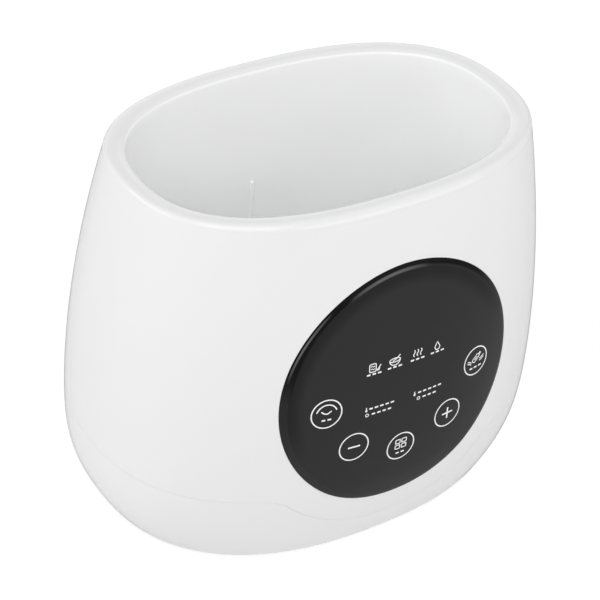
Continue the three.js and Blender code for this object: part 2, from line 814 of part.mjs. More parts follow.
function makeHeatingElement() {
  const at = (x, side, z) => new THREE.Vector3(x, side * elementY, z);
  const arm = (side) => ({
    end: at(elementEndX, side, coldEndZ),
    bendStart: at(elementEndX, side, elementAxis - element.bend),
    bendCorner: at(elementEndX, side, elementAxis),
    bendEnd: at(elementEndX - element.bend, side, elementAxis),
    loopStart: at(elementLoopX, side, elementAxis),
    loopCorner: at(elementLoopX - elementY, side, elementAxis),
  });
  const [there, back] = [arm(1), arm(-1)];
  const loopMiddle = at(elementLoopX - elementY, 0, elementAxis);
  const path = new THREE.CurvePath();
  path.add(new THREE.LineCurve3(there.end, there.bendStart));
  path.add(quarterBend(there.bendStart, there.bendCorner, there.bendEnd));
  path.add(new THREE.LineCurve3(there.bendEnd, there.loopStart));
  path.add(quarterBend(there.loopStart, there.loopCorner, loopMiddle));
  path.add(quarterBend(loopMiddle, back.loopCorner, back.loopStart));
  path.add(new THREE.LineCurve3(back.loopStart, back.bendEnd));
  path.add(quarterBend(back.bendEnd, back.bendCorner, back.bendStart));
  path.add(new THREE.LineCurve3(back.bendStart, back.end));
  return tube(path, element.radius, elementSteps, elementSides);
}

// A round tube along a path
function tube(path, radius, steps, sides) {
  const outline = new THREE.Shape();
  outline.moveTo(radius, 0);
  addArc(outline, 0, 0, radius, 0, 2 * Math.PI * (1 - 1 / sides), sides - 1);
  return solidFrom(new THREE.ExtrudeGeometry(outline, { steps, extrudePath: path, bevelEnabled: false }));
}

function makeThermostat() {
  const top = dishUnder - gap;
  const cap = post(thermostat.radius, thermostat.capHeight, [0, 0, top - thermostat.capHeight]);
  const bodyTop = top - thermostat.capHeight;
  const bodyBottom = bodyTop - thermostat.bodyHeight;
  const base = post(thermostat.bodyRadius, thermostat.bodyHeight + bond, [0, 0, bodyBottom]);
  const tabs = [-1, 1].map((side) => {
    const place = [0, (side * thermostat.bodyRadius) / 2, bodyBottom - thermostat.tabDrop];
    return block([thermostat.tabWidth, tabThickness, thermostat.tabDrop + bond], place);
  });
  return together([cap, base, ...tabs]);
}

// Pieces that lie along X under the plate

function alongX(profile, x, z) {
  const points = profile.map(([radius, reach]) => new THREE.Vector2(radius, reach));
  return new THREE.LatheGeometry(points, smallSides).rotateZ(-Math.PI / 2).translate(x, 0, z);
}

function makeThermalFuse() {
  const { radius, length } = thermalFuse;
  const end = length + radius;
  const profile = [[0, 0], [radius, 0], [radius, length], [radius / 2, end], [0, end]];
  return alongX(profile, thermalFuse.x, dishUnder - gap - radius);
}

function makeSensor() {
  const { radius, length, tailRadius, tailLength } = sensor;
  const profile = [
    [0, -tailLength],
    [tailRadius, -tailLength],
    [tailRadius, 0],
    [radius, 0],
    [radius, length - radius],
    [radius / 2, length],
    [0, length],
  ];
  return alongX(profile, sensor.x - length, dishUnder - gap - radius);
}

// Control board

function makeControlBoard() {
  const outline = roundedOutline(2 * control.halfWidth, control.above + control.below, control.cornerRadius);
  const middle = (control.above - control.below) / 2;
  const options = { depth: control.thickness, bevelEnabled: false, curveSegments: cornerSteps };
  const board = new THREE.ExtrudeGeometry(outline, options)
    .rotateX(Math.PI / 2)
    .translate(0, control.thickness, middle);
  const holes = boardScrewPlaces.map(([x, z]) =>
    crossBar(boardScrew.radius + gap, -overrun, control.thickness + overrun, x, z, smallSides),
  );
  return without(solidFrom(board), holes);
}

function keyPlace(key) {
  const turn = (key - (keyNames.length - 1) / 2) * keyPitch;
  return [keyArc.radius * Math.sin(turn), keyArc.rise - keyArc.radius * Math.cos(turn)];
}

// How far the back of the lens stands in front of the control board at a place on the board
function roomInFront(x, z) {
  const face = new THREE.Vector3(x, 0, z).applyMatrix4(boardFrame);
  const lensBack = -wallDistance(face.x, face.z, panel.lensThickness - panel.proud);
  return (face.y - lensBack) * Math.cos(boardLean);
}

// A conductive rubber post, from the board to the back of the lens
function makeTouchContact(x, z) {
  const reach = control.contactRadius;
  const spots = [[-reach, 0], [reach, 0], [0, -reach], [0, reach]];
  const room = Math.min(...spots.map(([dx, dz]) => roomInFront(x + dx, z + dz)));
  const length = room - 2 * gap;
  const profile = [
    [0, 0],
    [control.contactFlange, 0],
    [control.contactFlange, control.contactFlangeHeight],
    [control.contactRadius, control.contactFlangeHeight],
    [control.contactRadius, length],
    [0, length],
  ].map(([radius, height]) => new THREE.Vector2(radius, height));
  return new THREE.LatheGeometry(profile, roundSides).rotateX(Math.PI).translate(x, -gap, z);
}

function makeBuzzer() {
  const back = control.thickness + gap;
  const can = crossBar(buzzer.radius, back, back + buzzer.height, buzzer.x, -buzzer.drop);
  const soundHole = crossBar(
    buzzer.hole,
    back + buzzer.height - buzzer.holeDepth,
    back + buzzer.height + overrun,
    buzzer.x,
    -buzzer.drop,
    smallSides,
  );
  return can.subtract(soundHole);
}

// Power inlet, built about its flange's inner face, with +Y outwards

function makeInlet() {
  const faceY = inlet.flangeThickness;
  const backY = -inlet.bodyDepth;
  const flange = uprightSlab(inlet.flangeWidth, inlet.flangeHeight, inlet.flangeRound, 0, faceY, 0, 0);
  const shank = uprightSlab(inlet.bodyWidth, inlet.bodyHeight, inlet.bodyRound, backY, bond, 0, 0);
  const socketY = faceY - inlet.socketDepth;
  const sockets = pinSides.map((side) =>
    crossBar(inlet.socketRadius, socketY, faceY + overrun, (side * inlet.pinSpacing) / 2, 0),
  );
  const waist = block(
    [inlet.pinSpacing, inlet.socketDepth + overrun, inlet.socketWaist],
    [0, (socketY + faceY + overrun) / 2, -inlet.socketWaist / 2],
  );
  const pinHoles = pinSides.map((side) =>
    crossBar(inlet.pinRadius + gap, backY - overrun, faceY, (side * inlet.pinSpacing) / 2, 0, smallSides),
  );
  return without(flange.add(shank), [...sockets, waist, ...pinHoles]);
}

function makeInletPin() {
  const tip = inlet.pinRadius / 2;
  const end = inlet.flangeThickness - inlet.socketDepth + inlet.pinReach;
  const start = -inlet.bodyDepth - inlet.pinTail;
  const profile = [
    [0, start],
    [inlet.pinRadius, start],
    [inlet.pinRadius, end - tip],
    [tip, end],
    [0, end],
  ].map(([x, y]) => new THREE.Vector2(x, y));
  return new THREE.LatheGeometry(profile, smallSides);
}

const pinSides = [-1, 1];

// Pieces on the power board, built about the board's top face

function makePowerBoard() {
  const place = [0, 0, -power.thickness];
  const [length, width] = [2 * power.halfLength, 2 * power.halfWidth];
  const board = slab(length, width, power.thickness, power.cornerRadius, place);
  const holes = standoffPlaces.map(([x, y], corner) => {
    const radius = (isScrewed(corner) ? boardScrew.radius : power.pegRadius) + gap;
    const depth = power.thickness + 2 * overrun;
    return post(radius, depth, [x, y - power.y, -power.thickness - overrun], smallSides);
  });
  return without(board, holes);
}

function makeTransformer() {
  const { length, width, height, x, y, coreWidth, coreStep } = transformer;
  const winding = block([length - 2 * coreStep, width, height], [x, y, gap]);
  const core = block([length, coreWidth, height - coreStep], [x, y, gap]);
  return winding.add(core);
}

function makeCapacitor() {
  return post(capacitor.radius, capacitor.height, [capacitor.x, capacitor.y, gap]);
}

function makeMainsFuse() {
  const { radius, length, x, y, capRadius, capLength } = mainsFuse;
  const profile = [
    [0, 0],
    [capRadius, 0],
    [capRadius, capLength],
    [radius, capLength],
    [radius, length - capLength],
    [capRadius, length - capLength],
    [capRadius, length],
    [0, length],
  ].map(([r, h]) => new THREE.Vector2(r, h));
  return new THREE.LatheGeometry(profile, smallSides)
    .rotateZ(-Math.PI / 2)
    .translate(x - length / 2, y, capRadius + gap);
}

function boxOn({ length, width, height, x, y }) {
  return new THREE.BoxGeometry(length, width, height).translate(x, y, gap + height / 2);
}

// Leads: round tubes along paths in the body's frame, that stop just short of what they join

function leadAlong(points) {
  const places = points.map((point) => new THREE.Vector3(...point));
  const path = new THREE.CatmullRomCurve3(places, false, "centripetal");
  return tube(path, lead.radius, leadSteps, leadSides);
}

const clear = lead.radius + gap;

function makeInletLead(side) {
  const pinX = (side * inlet.pinSpacing) / 2;
  const pinEnd = inletSeatY + gap - inlet.bodyDepth - inlet.pinTail;
  const endX = mainsTerminal.x + (side * mainsTerminal.length) / 4;
  const endY = power.y + mainsTerminal.y + mainsTerminal.width / 2 + gap;
  const endZ = boardTop + gap + mainsTerminal.height / 2;
  return leadAlong([
    [pinX, pinEnd - gap, inlet.height],
    [pinX, pinEnd - 2 * clear, inlet.height],
    [endX, endY + 2 * clear, endZ],
    [endX, endY, endZ],
  ]);
}

function makeHeaterLead(side) {
  const endY = power.y + heaterTerminal.y + (side * heaterTerminal.width) / 4;
  const endZ = boardTop + gap + heaterTerminal.height + gap;
  return leadAlong([
    [elementEndX, side * elementY, coldEndZ - gap],
    [elementEndX, side * elementY, coldEndZ - 2 * clear],
    [heaterTerminal.x, endY, endZ + 2 * clear],
    [heaterTerminal.x, endY, endZ],
  ]);
}

function makeSensorLead() {
  const tailEnd = sensor.x - sensor.length - sensor.tailLength;
  const axis = dishUnder - gap - sensor.radius;
  const [endX, endY] = [sensorSocket.x, power.y + sensorSocket.y];
  const endZ = boardTop + gap + sensorSocket.height + gap;
  return leadAlong([
    [tailEnd - gap, 0, axis],
    [tailEnd - 2 * clear, 0, axis],
    [(tailEnd + endX) / 2 - clear, endY, (axis + endZ) / 2],
    [endX, endY, endZ + 2 * clear],
    [endX, endY, endZ],
  ]);
}

// Flat ribbon from the control board's socket down to the socket on the power board
function makeRibbon() {
  const start = new THREE.Vector3(
    ribbonSocket.x,
    control.thickness + gap + ribbonSocket.depth / 2,
    -ribbonSocket.drop - ribbonSocket.height / 2 - gap,
  ).applyMatrix4(boardFrame);
  const endY = power.y - power.halfWidth + boardSocketPlace.edge - ribbonSocket.depth / 2 - gap;
  const endZ = boardTop + gap + ribbonSocket.height / 2;
  const points = [
    start,
    new THREE.Vector3(start.x, start.y, start.z - 2 * ribbonSocket.height),
    new THREE.Vector3(start.x, endY - 2 * ribbonSocket.height, endZ),
    new THREE.Vector3(start.x, endY, endZ),
  ];
  const outline = new THREE.Shape();
  outline.moveTo(-ribbon.width / 2, -ribbon.thickness / 2);
  outline.lineTo(ribbon.width / 2, -ribbon.thickness / 2);
  outline.lineTo(ribbon.width / 2, ribbon.thickness / 2);
  outline.lineTo(-ribbon.width / 2, ribbon.thickness / 2);
  const path = new THREE.CatmullRomCurve3(points, false, "centripetal");
  const options = { steps: leadSteps, extrudePath: path, bevelEnabled: false };
  return new THREE.ExtrudeGeometry(outline, options);
}

// Feet and lens

function makeFoot() {
  const height = body.footHeight + foot.sunk - gap;
  const profile = [
    [0, 0],
    [foot.radius - foot.chamfer, 0],
    [foot.radius, foot.chamfer],
    [foot.radius, height],
    [0, height],
  ].map(([x, y]) => new THREE.Vector2(x, y));
  return new THREE.LatheGeometry(profile, roundSides).rotateX(Math.PI / 2);
}

function makeLens() {
  return panelLayer(panel.radius, -panel.proud, panel.lensThickness - panel.proud);
}

function makeLensGasket() {
  const front = panel.lensThickness - panel.proud + gap;
  const hole = panelBar(panel.radius - gap - panel.gasketWidth);
  return panelLayer(panel.radius - gap, front, front + panel.gasketThickness).subtract(hole);
}

// The assembly

const creaseTurn = THREE.MathUtils.degToRad(35);

function piece(name, shape, finish) {
  const geometry = shape.isBufferGeometry ? shape : geometryFrom(shape);
  const mesh = new THREE.Mesh(toCreasedNormals(geometry, creaseTurn), new THREE.MeshStandardMaterial(finish));
  mesh.name = name;
  return mesh;
}

const warmer = new THREE.Group();
warmer.add(
  piece("outer_housing", makeOuterHousing(), finishes.whiteGloss),
  piece("bottom_cover", makeBottomCover(), finishes.whiteGloss),
  piece("inner_tank", makeInnerTank(), finishes.whiteGloss),
  piece("tank_gasket", makeTankGasket(), finishes.silicone),
  piece("heating_plate", makeHeatingPlate(), finishes.aluminium),
  piece("plate_clamp", makePlateClamp(), finishes.steel),
  piece("heating_element", makeHeatingElement(), finishes.steel),
  piece("thermostat", makeThermostat(), finishes.blackPlastic),
  piece("thermal_fuse", makeThermalFuse(), finishes.creamPlastic),
  piece("temperature_sensor", makeSensor(), finishes.brass),
  piece("panel_lens", makeLens(), finishes.blackGloss),
  piece("lens_gasket", makeLensGasket(), finishes.blackFoam),
  piece("sensor_lead", makeSensorLead(), finishes.whiteLead),
  piece("ribbon_cable", makeRibbon(), finishes.whiteLead),
);

clampPlaces.forEach(([x, y], i) => {
  const screw = piece("clamp_screw_" + (i + 1), screwGeometry(clampScrew), finishes.steel);
  screw.position.set(x, y, clampBottom - gap);
  screw.rotation.x = Math.PI;
  warmer.add(screw);
});

columnPlaces.forEach(([x, y], i) => {
  const screw = piece("base_screw_" + (i + 1), crossScrewGeometry(baseScrew), finishes.steel);
  screw.position.set(x, y, wellTop - cover.floor - gap);
  screw.rotation.x = Math.PI;
  warmer.add(screw);
});

footPlaces.forEach(([x, y], i) => {
  const pad = piece("foot_" + (i + 1), makeFoot(), finishes.greyRubber);
  pad.position.set(x, y, 0);
  warmer.add(pad);
});

const controlUnit = new THREE.Group();
controlUnit.position.setFromMatrixPosition(boardFrame);
controlUnit.rotation.x = -boardLean;
controlUnit.add(
  piece("control_board", makeControlBoard(), finishes.boardGreen),
  piece("light_guide", makeFrontBox(lightGuide, 0), finishes.whiteSatin),
  piece("display_left", makeFrontBox(display, -display.offset), finishes.smokedPlastic),
  piece("display_right", makeFrontBox(display, display.offset), finishes.smokedPlastic),
  piece("buzzer", makeBuzzer(), finishes.blackPlastic),
  piece("control_socket", makeControlSocket(), finishes.creamPlastic),
);
keyNames.forEach((name, key) => {
  const contact = makeTouchContact(...keyPlace(key));
  controlUnit.add(piece("touch_contact_" + name, contact, finishes.blackFoam));
});
boardScrewPlaces.forEach(([x, z], i) => {
  const screw = piece("control_screw_" + (i + 1), screwGeometry(boardScrew), finishes.steel);
  screw.rotation.x = -Math.PI / 2;
  screw.position.set(x, control.thickness + gap, z);
  controlUnit.add(screw);
});
warmer.add(controlUnit);

// A block on the front of the control board
function makeFrontBox({ width, height, depth, rise }, x) {
  return new THREE.BoxGeometry(width, depth, height).translate(x, -gap - depth / 2, rise);
}

function makeControlSocket() {
  const { width, height, depth, x, drop } = ribbonSocket;
  const y = control.thickness + gap + depth / 2;
  return new THREE.BoxGeometry(width, depth, height).translate(x, y, -drop);
}

const powerUnit = new THREE.Group();
powerUnit.position.set(0, power.y, boardTop);
powerUnit.add(
  piece("power_board", makePowerBoard(), finishes.boardGreen),
  piece("transformer", makeTransformer(), finishes.blackPlastic),
  piece("relay", boxOn(relay), finishes.paleBlue),
  piece("capacitor", makeCapacitor(), finishes.aluminium),
  piece("mains_fuse", makeMainsFuse(), finishes.creamPlastic),
  piece("mains_terminal", boxOn(mainsTerminal), finishes.creamPlastic),
  piece("heater_terminal", boxOn(heaterTerminal), finishes.creamPlastic),
  piece("sensor_socket", boxOn(sensorSocket), finishes.creamPlastic),
  piece("power_socket", makePowerSocket(), finishes.creamPlastic),
);
standoffPlaces.forEach(([x, y], corner) => {
  if (!isScrewed(corner)) return;
  const screw = piece("power_screw_" + (corner / 2 + 1), screwGeometry(boardScrew), finishes.steel);
  screw.position.set(x, y - power.y, gap);
  powerUnit.add(screw);
});
warmer.add(powerUnit);

function makePowerSocket() {
  const y = -power.halfWidth + boardSocketPlace.edge;
  return boxOn({
    length: ribbonSocket.width,
    width: ribbonSocket.depth,
    height: ribbonSocket.height,
    x: boardSocketPlace.x,
    y,
  });
}

const inletUnit = new THREE.Group();
inletUnit.position.set(0, inletSeatY + gap, inlet.height);
inletUnit.add(piece("power_inlet", makeInlet(), finishes.blackPlastic));
pinSides.forEach((side, i) => {
  const pin = piece("inlet_pin_" + (i + 1), makeInletPin(), finishes.brass);
  pin.position.x = (side * inlet.pinSpacing) / 2;
  inletUnit.add(pin);
});
warmer.add(inletUnit);

pinSides.forEach((side, i) => {
  const finish = i ? finishes.blueLead : finishes.brownLead;
  warmer.add(piece("inlet_lead_" + (i + 1), makeInletLead(side), finish));
  warmer.add(piece("heater_lead_" + (i + 1), makeHeaterLead(side), finish));
});

export default warmer;
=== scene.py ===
import math

import bpy
from mathutils import Matrix, Vector
from mathutils.bvhtree import BVHTree
from mathutils.interpolate import poly_3d_calc


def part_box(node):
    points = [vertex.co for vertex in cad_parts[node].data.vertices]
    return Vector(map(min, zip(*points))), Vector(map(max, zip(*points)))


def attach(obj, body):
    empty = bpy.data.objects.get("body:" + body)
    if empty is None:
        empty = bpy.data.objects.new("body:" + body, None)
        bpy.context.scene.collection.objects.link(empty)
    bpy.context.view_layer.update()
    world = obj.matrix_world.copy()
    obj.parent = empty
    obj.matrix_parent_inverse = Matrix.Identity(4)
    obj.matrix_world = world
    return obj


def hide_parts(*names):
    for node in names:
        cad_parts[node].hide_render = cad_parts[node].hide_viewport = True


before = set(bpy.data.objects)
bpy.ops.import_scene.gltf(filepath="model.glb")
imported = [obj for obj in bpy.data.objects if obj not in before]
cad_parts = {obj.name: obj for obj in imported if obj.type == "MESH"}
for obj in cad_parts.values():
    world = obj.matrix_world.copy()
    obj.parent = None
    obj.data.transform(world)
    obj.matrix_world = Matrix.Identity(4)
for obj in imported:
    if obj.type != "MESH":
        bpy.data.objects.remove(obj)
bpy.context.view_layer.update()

MM = 0.001

# Camera, fitted to the photograph
AZIMUTH = math.radians(35.757)
ELEVATION = math.radians(37.295)
ROLL = math.radians(5.968)
LENS = 115.197
SENSOR = 36.0
DISTANCE = 742.867
AIM = (-1.868, 75.0, -4.364)  # across, height of the point aimed about, and up the picture

# Body form
HEIGHT = 149.4
FOOT_Z = 2.0
GIRTH_Z = 40.0
GIRTH = (94.0, 70.0)
SOLE = (85.0, 62.5)
RIM = (82.75, 52.7)
RIM_ROUND = (1.7, 3.4)
RIM_BAND = 7.75
RIM_LAND_END = 4.4
MOUTH_FALL = 1.8
FALL_POWER = 1.7
SHOULDER_Z = 147.0
WALL_TOP = 144.5
SOLE_ROUND = 1.0
SQUARENESS = (2.35, 2.47)
RISE_POWER = (1.8, 1.85)
TUCK_POWER = (3.4, 1.8)
SIDES = 192

# Walls of the housing and the cover, in the look's own thickness
HOUSING_WALL = 4.4
COVER_WALL = 2.5
COVER_FLOOR = 2.5
TOP_WALL = 3.0
SKIRT_WALL = 1.4
SKIRT_DEPTH = 7.0
HOUSING_LOW = 10.0

# Seam between housing and cover
SEAM_Z = 37.2
SEAM_MARGIN = 12.05
SEAM_FILLET = 16.0
SEAM_GAP = 0.1

# Cutting bodies: how far they run past what they cut, how far two halves run into each other, and
# where those from below start
OVERRUN = 5.0
OVERLAP = 1.0
CUT_START = -3.0

# Tank
MOUTH = (75.0, 44.95)
MOUTH_SQUARENESS = 2.47
LEAN = 0.026
TANK_WALL = 2.2
TANK_FLOOR_Z = 44.5
TANK_FLOOR_THICK = 2.5
FLOOR_ROUND = 6.0
COLLAR_GAP = 0.3
COLLAR_WALL = 1.3
JOINT_GAP = 0.02
RIB_HALF = 1.1
RIB_DEPTH = 0.9
RIB_TOP = 99.0

# Heating plate
FLANGE_INSET = 9.5
DISH_INSET = 5.5
PLATE_THICK = 2.5
PLATE_DROP = 0.5
PLATE_ROUND = 1.5
FLANGE_TOP = 39.9
FIT = 0.3

# Panel
PANEL_Z = 76.7
PANEL_R = 49.95
RING_PITCH = 6.0  # between the rings of a form laid on the front
PROUD = 0.49
LENS_THICK = 2.1
BEVEL = (2.6, 0.45)
LEDGE_DEPTH = 2.7
LEDGE_WIDTH = 6.0
LENS_GAP = 0.05
LENS_CHAMFER = 0.2
EDGE_ROUND = 0.1
SEAT_CUT = 3.0
WINDOW_STOP = 4.0
KEY_R = 6.2
KEY_PLACES = {
    "preset": (-32.85, -1.55),
    "minus": (-21.1, -19.45),
    "menu": (-0.3, -26.3),
    "plus": (20.8, -19.2),
    "warm": (33.45, -1.1),
}

# Tone of the lens, as linear grey: its face, a painted dark reflection in a soft ring round its
# upper left, a darker painted reflection on its edge there, and two painted highlights on that
# edge. A TURN is a middle and the span that it fades in over, and a highlight is a turn, a reach,
# a radius and a width.
FACE_TONE = 0.0395
RING_PAINTED_REFLECTION_TONE = 0.0268
EDGE_PAINTED_REFLECTION_TONE = 0.007
PAINTED_HIGHLIGHT_TONE = 0.14
FACE_SHEEN = 0.009
RING_PAINTED_REFLECTION_TURN = (math.radians(112), 0.42, 0.66)
EDGE_PAINTED_REFLECTION_TURN = (math.radians(105), 0.66, 0.8)
RING_PAINTED_REFLECTION_SPAN = (40.5, 46.0)
EDGE_PAINTED_REFLECTION_START = (47.4, 0.9, math.radians(50))
EDGE_PAINTED_REFLECTION_BLEND = 0.7
# Painted highlights: lighter tone on the upper-left edge of the lens, where lamps would be
# reflected
PAINTED_HIGHLIGHTS = (
    (math.radians(99), math.radians(21), 48.0, 0.8),
    (math.radians(146), math.radians(18), 49.2, 0.45),
)

# Underside
FOOT_PLACE = (51.0, 35.0)
FOOT_R = 7.5
FOOT_SUNK = 1.2
FOOT_EDGE = 1.0
FOOT_INNER_R = 3.0
WELL_R = 5.0
WELL_H = 5.0
WELL_BOND = 1.0
VENTS = 4
VENT = (24.0, 2.6)
VENT_ROUND = 0.49  # share of the width
VENT_CUT_TOP = 10.0
VENT_PITCH = 7.0
VENT_X = 22.0

# Base screws: (radius, height) from the head's face up, and from the tip down
SCREW_R = 1.5
SCREW_HEAD_R = 3.0
SCREW_HEAD = ((0, 0), (1.6, 0.1), (2.6, 0.6), (SCREW_HEAD_R, 1.3), (SCREW_HEAD_R, 2), (SCREW_R, 2))
SCREW_TIP = ((SCREW_R, -0.6), (0.9, 0), (0, 0))
SCREW_HOLE_TOP = 20.0
RECESS = (3.6, 0.9, 1.0)  # length, width and depth of each slot of the cross

# Mains inlet
INLET_Z = 20.5
INLET_FLANGE = (28.0, 17.0, 1.5, 4.0)
INLET_BODY = (22.0, 12.4, 17.0, 3.0)
SOCKET_R = 4.0
SOCKET_DEPTH = 12.0
SOCKET_WAIST = 6.0
PIN_X = 4.3
PIN_R = 1.2
PIN_REACH = 9.0
PIN_TAIL = 4.0
PIN_CHAMFER = (0.8, 0.2, 0.75)  # where it starts, where it ends, and the share of the radius left
PAD_THICK = 3.2
PAD_MARGIN = 4.0
PAD_BOND = 0.8
INLET_HOLE = 10.0

# Light and stage
ROOM_LIGHT = 0.33
DIFFUSE_BOUNCES = 12
FLOOR_REACH = 1300.0
FLOOR_PLAIN = 0.8
FLOOR_SHADE = 0.4
FLOOR_GLOW = 0.72
LAMP_AIM_Z = 0.08
LAMP_DISTANCE = 1.5
LAMPS = (  # name, azimuth, elevation, size and power
    ("left", -110, 20, (1.2, 1.2), 8.7),
    ("front", -33, 49, (1.3, 1.2), 10),
    ("right_front", 28, 17, (1.3, 0.9), 5.2),
    ("right", 80, 45, (1.2, 1.2), 2),
    ("back", 150, 15, (1.2, 1.0), 3),
)


# Forms


def section(z, inset=0.0):
    rise = max(0.0, (z - GIRTH_Z) / (SHOULDER_Z - GIRTH_Z))
    tuck = max(0.0, (GIRTH_Z - z) / (GIRTH_Z - FOOT_Z))
    halves = []
    for i in range(2):
        drawn = (GIRTH[i] - RIM[i]) * rise ** RISE_POWER[i]
        tucked = (GIRTH[i] - SOLE[i]) * tuck ** TUCK_POWER[i]
        halves.append(GIRTH[i] - drawn - tucked - inset)
    power = SQUARENESS[0] + (SQUARENESS[1] - SQUARENESS[0]) * (z / HEIGHT)
    return halves[0], halves[1], power


def tank_section(z, outset=0.0):
    lean = (HEIGHT - z) * LEAN
    return MOUTH[0] - lean + outset, MOUTH[1] - lean + outset, MOUTH_SQUARENESS


def grown(form, by):
    return form[0] + by, form[1] + by, form[2]


EVEN_TURNS = [2 * math.pi * i / SIDES for i in range(SIDES)]


def on_form(form, turn):
    half_length, half_width, power = form
    c, s = math.cos(turn), math.sin(turn)
    x = half_length * math.copysign(abs(c) ** (2 / power), c)
    y = half_width * math.copysign(abs(s) ** (2 / power), s)
    return x, y


def ring(form, z, turns=EVEN_TURNS):
    return [(*on_form(form, turn), z) for turn in turns]


def wall_y(x, z, proud=0.0):
    """The front wall's y at x and z, as a negative number, with the wall grown by proud."""
    half_length, half_width, power = section(z, -proud)
    return -half_width * (1 - abs(x / half_length) ** power) ** (1 / power)


def steps(low, high, count):
    return [low + (high - low) * i / count for i in range(count + 1)]


def quarter(count):
    return [math.pi / 2 * i / count for i in range(count + 1)]


# Meshes


def new_object(name, points, faces, smooth_turn=35):
    mesh = bpy.data.meshes.new(name)
    mesh.from_pydata([Vector(p) * MM for p in points], [], faces)
    mesh.validate()
    mesh.shade_smooth()
    mesh.set_sharp_from_angle(angle=math.radians(smooth_turn))
    thing = bpy.data.objects.new(name, mesh)
    bpy.context.scene.collection.objects.link(thing)
    return thing


def loft(name, rings, closed=False, caps=True):
    """Skin over rings that run up the outside. A ring of one point closes the end it is at."""
    points = [p for one in rings for p in one]
    starts = [0]
    for one in rings:
        starts.append(starts[-1] + len(one))
    faces = []
    pairs = list(zip(range(len(rings)), range(1, len(rings))))
    if closed:
        pairs.append((len(rings) - 1, 0))
    for low, high in pairs:
        a, b = starts[low], starts[high]
        count = max(len(rings[low]), len(rings[high]))
        for i in range(count):
            j = (i + 1) % count
            if len(rings[low]) == 1:
                faces.append((a, b + j, b + i))
            elif len(rings[high]) == 1:
                faces.append((a + i, a + j, b))
            else:
                faces.append((a + i, a + j, b + j, b + i))
    if caps and not closed:
        if len(rings[0]) > 1:
            faces.append(tuple(reversed(range(len(rings[0])))))
        if len(rings[-1]) > 1:
            faces.append(tuple(range(starts[-2], starts[-1])))
    return new_object(name, points, faces)


def lathe(name, profile, place=(0, 0, 0), axis="Z", sides=64):
    """A turned piece from (radius, height) pairs that start and end on the axis."""
    rings = []
    for radius, height in profile:
        count = 1 if radius == 0 else sides
        one = []
        for i in range(count):
            turn = 2 * math.pi * i / sides
            x, y, z = radius * math.cos(turn), radius * math.sin(turn), height
            if axis == "Y":
                x, y, z = y, z, x
            one.append((x + place[0], y + place[1], z + place[2]))
        rings.append(one)
    return loft(name, rings)


def prism(name, outline, low, high, axis="Z"):
    """An outline drawn in x and z for axis Y, or in x and y for axis Z, run from low to high."""
    if axis == "Y":
        near = [(x, low, z) for x, z in outline]
        far = [(x, high, z) for x, z in outline]
        return loft(name, [far, near])
    near = [(x, y, low) for x, y in outline]
    far = [(x, y, high) for x, y in outline]
    return loft(name, [near, far])


def rounded(width, height, radius, place=(0, 0), bends=8):
    outline = []
    for k, (sx, sy) in enumerate(((1, 1), (-1, 1), (-1, -1), (1, -1))):
        cx, cy = sx * (width / 2 - radius), sy * (height / 2 - radius)
        for turn in quarter(bends):
            turn += k * math.pi / 2
            x = place[0] + cx + radius * math.cos(turn)
            y = place[1] + cy + radius * math.sin(turn)
            outline.append((x, y))
    return outline


def combine(target, tool, operation):
    """Cuts the tool from the target, or joins it on, and drops the tool."""
    modifier = target.modifiers.new("combine", "BOOLEAN")
    modifier.operation = operation
    modifier.object = tool
    modifier.solver = "MANIFOLD"
    bpy.context.view_layer.update()
    graph = bpy.context.evaluated_depsgraph_get()
    made = bpy.data.meshes.new_from_object(target.evaluated_get(graph))
    target.modifiers.remove(modifier)
    old = target.data
    target.data = made
    made.name = old.name
    bpy.data.meshes.remove(old)
    drop(tool)
    if not made.polygons:
        raise RuntimeError("nothing left of " + target.name)


def cut(target, *tools):
    for tool in tools:
        combine(target, tool, "DIFFERENCE")


def join(target, *tools):
    for tool in tools:
        combine(target, tool, "UNION")


def drop(thing):
    mesh = thing.data
    bpy.data.objects.remove(thing)
    bpy.data.meshes.remove(mesh)


def sharpen(thing, turn=35):
    thing.data.shade_smooth()
    thing.data.set_sharp_from_angle(angle=math.radians(turn))


def follow(thing, sheet, turn=35, near=0.02):
    """Gives the faces that still lie on the uncut sheet the sheet's own smooth normals."""
    sharpen(thing, turn)
    source, mesh = sheet.data, thing.data
    spots = [v.co for v in source.vertices]
    tree = BVHTree.FromPolygons(spots, [p.vertices for p in source.polygons])
    normals = [Vector(n.vector) for n in mesh.corner_normals]
    for face in mesh.polygons:
        place, normal, _, away = tree.find_nearest(face.center)
        if away > near * MM or normal.dot(face.normal) < 0.9:
            continue
        for corner in face.loop_indices:
            spot = mesh.vertices[mesh.loops[corner].vertex_index].co
            at, _, index, _ = tree.find_nearest(spot)
            host = source.polygons[index]
            shares = poly_3d_calc([source.vertices[i].co for i in host.vertices], at)
            total = Vector((0, 0, 0))
            for share, i in zip(shares, host.vertices):
                total += source.vertices[i].normal * share
            normals[corner] = total.normalized()
    mesh.normals_split_custom_set(normals)
    drop(sheet)


# Materials


MOTTLE_DETAIL = 3
GRAIN_DETAIL = 2
GRAIN_DEPTH = 0.0002  # metres
# Painted shade on the white body where it turns away from the eye
TURNED_SHADE_FADE = (0.5, 0.9)  # the sheen fades out between these turns away from the eye


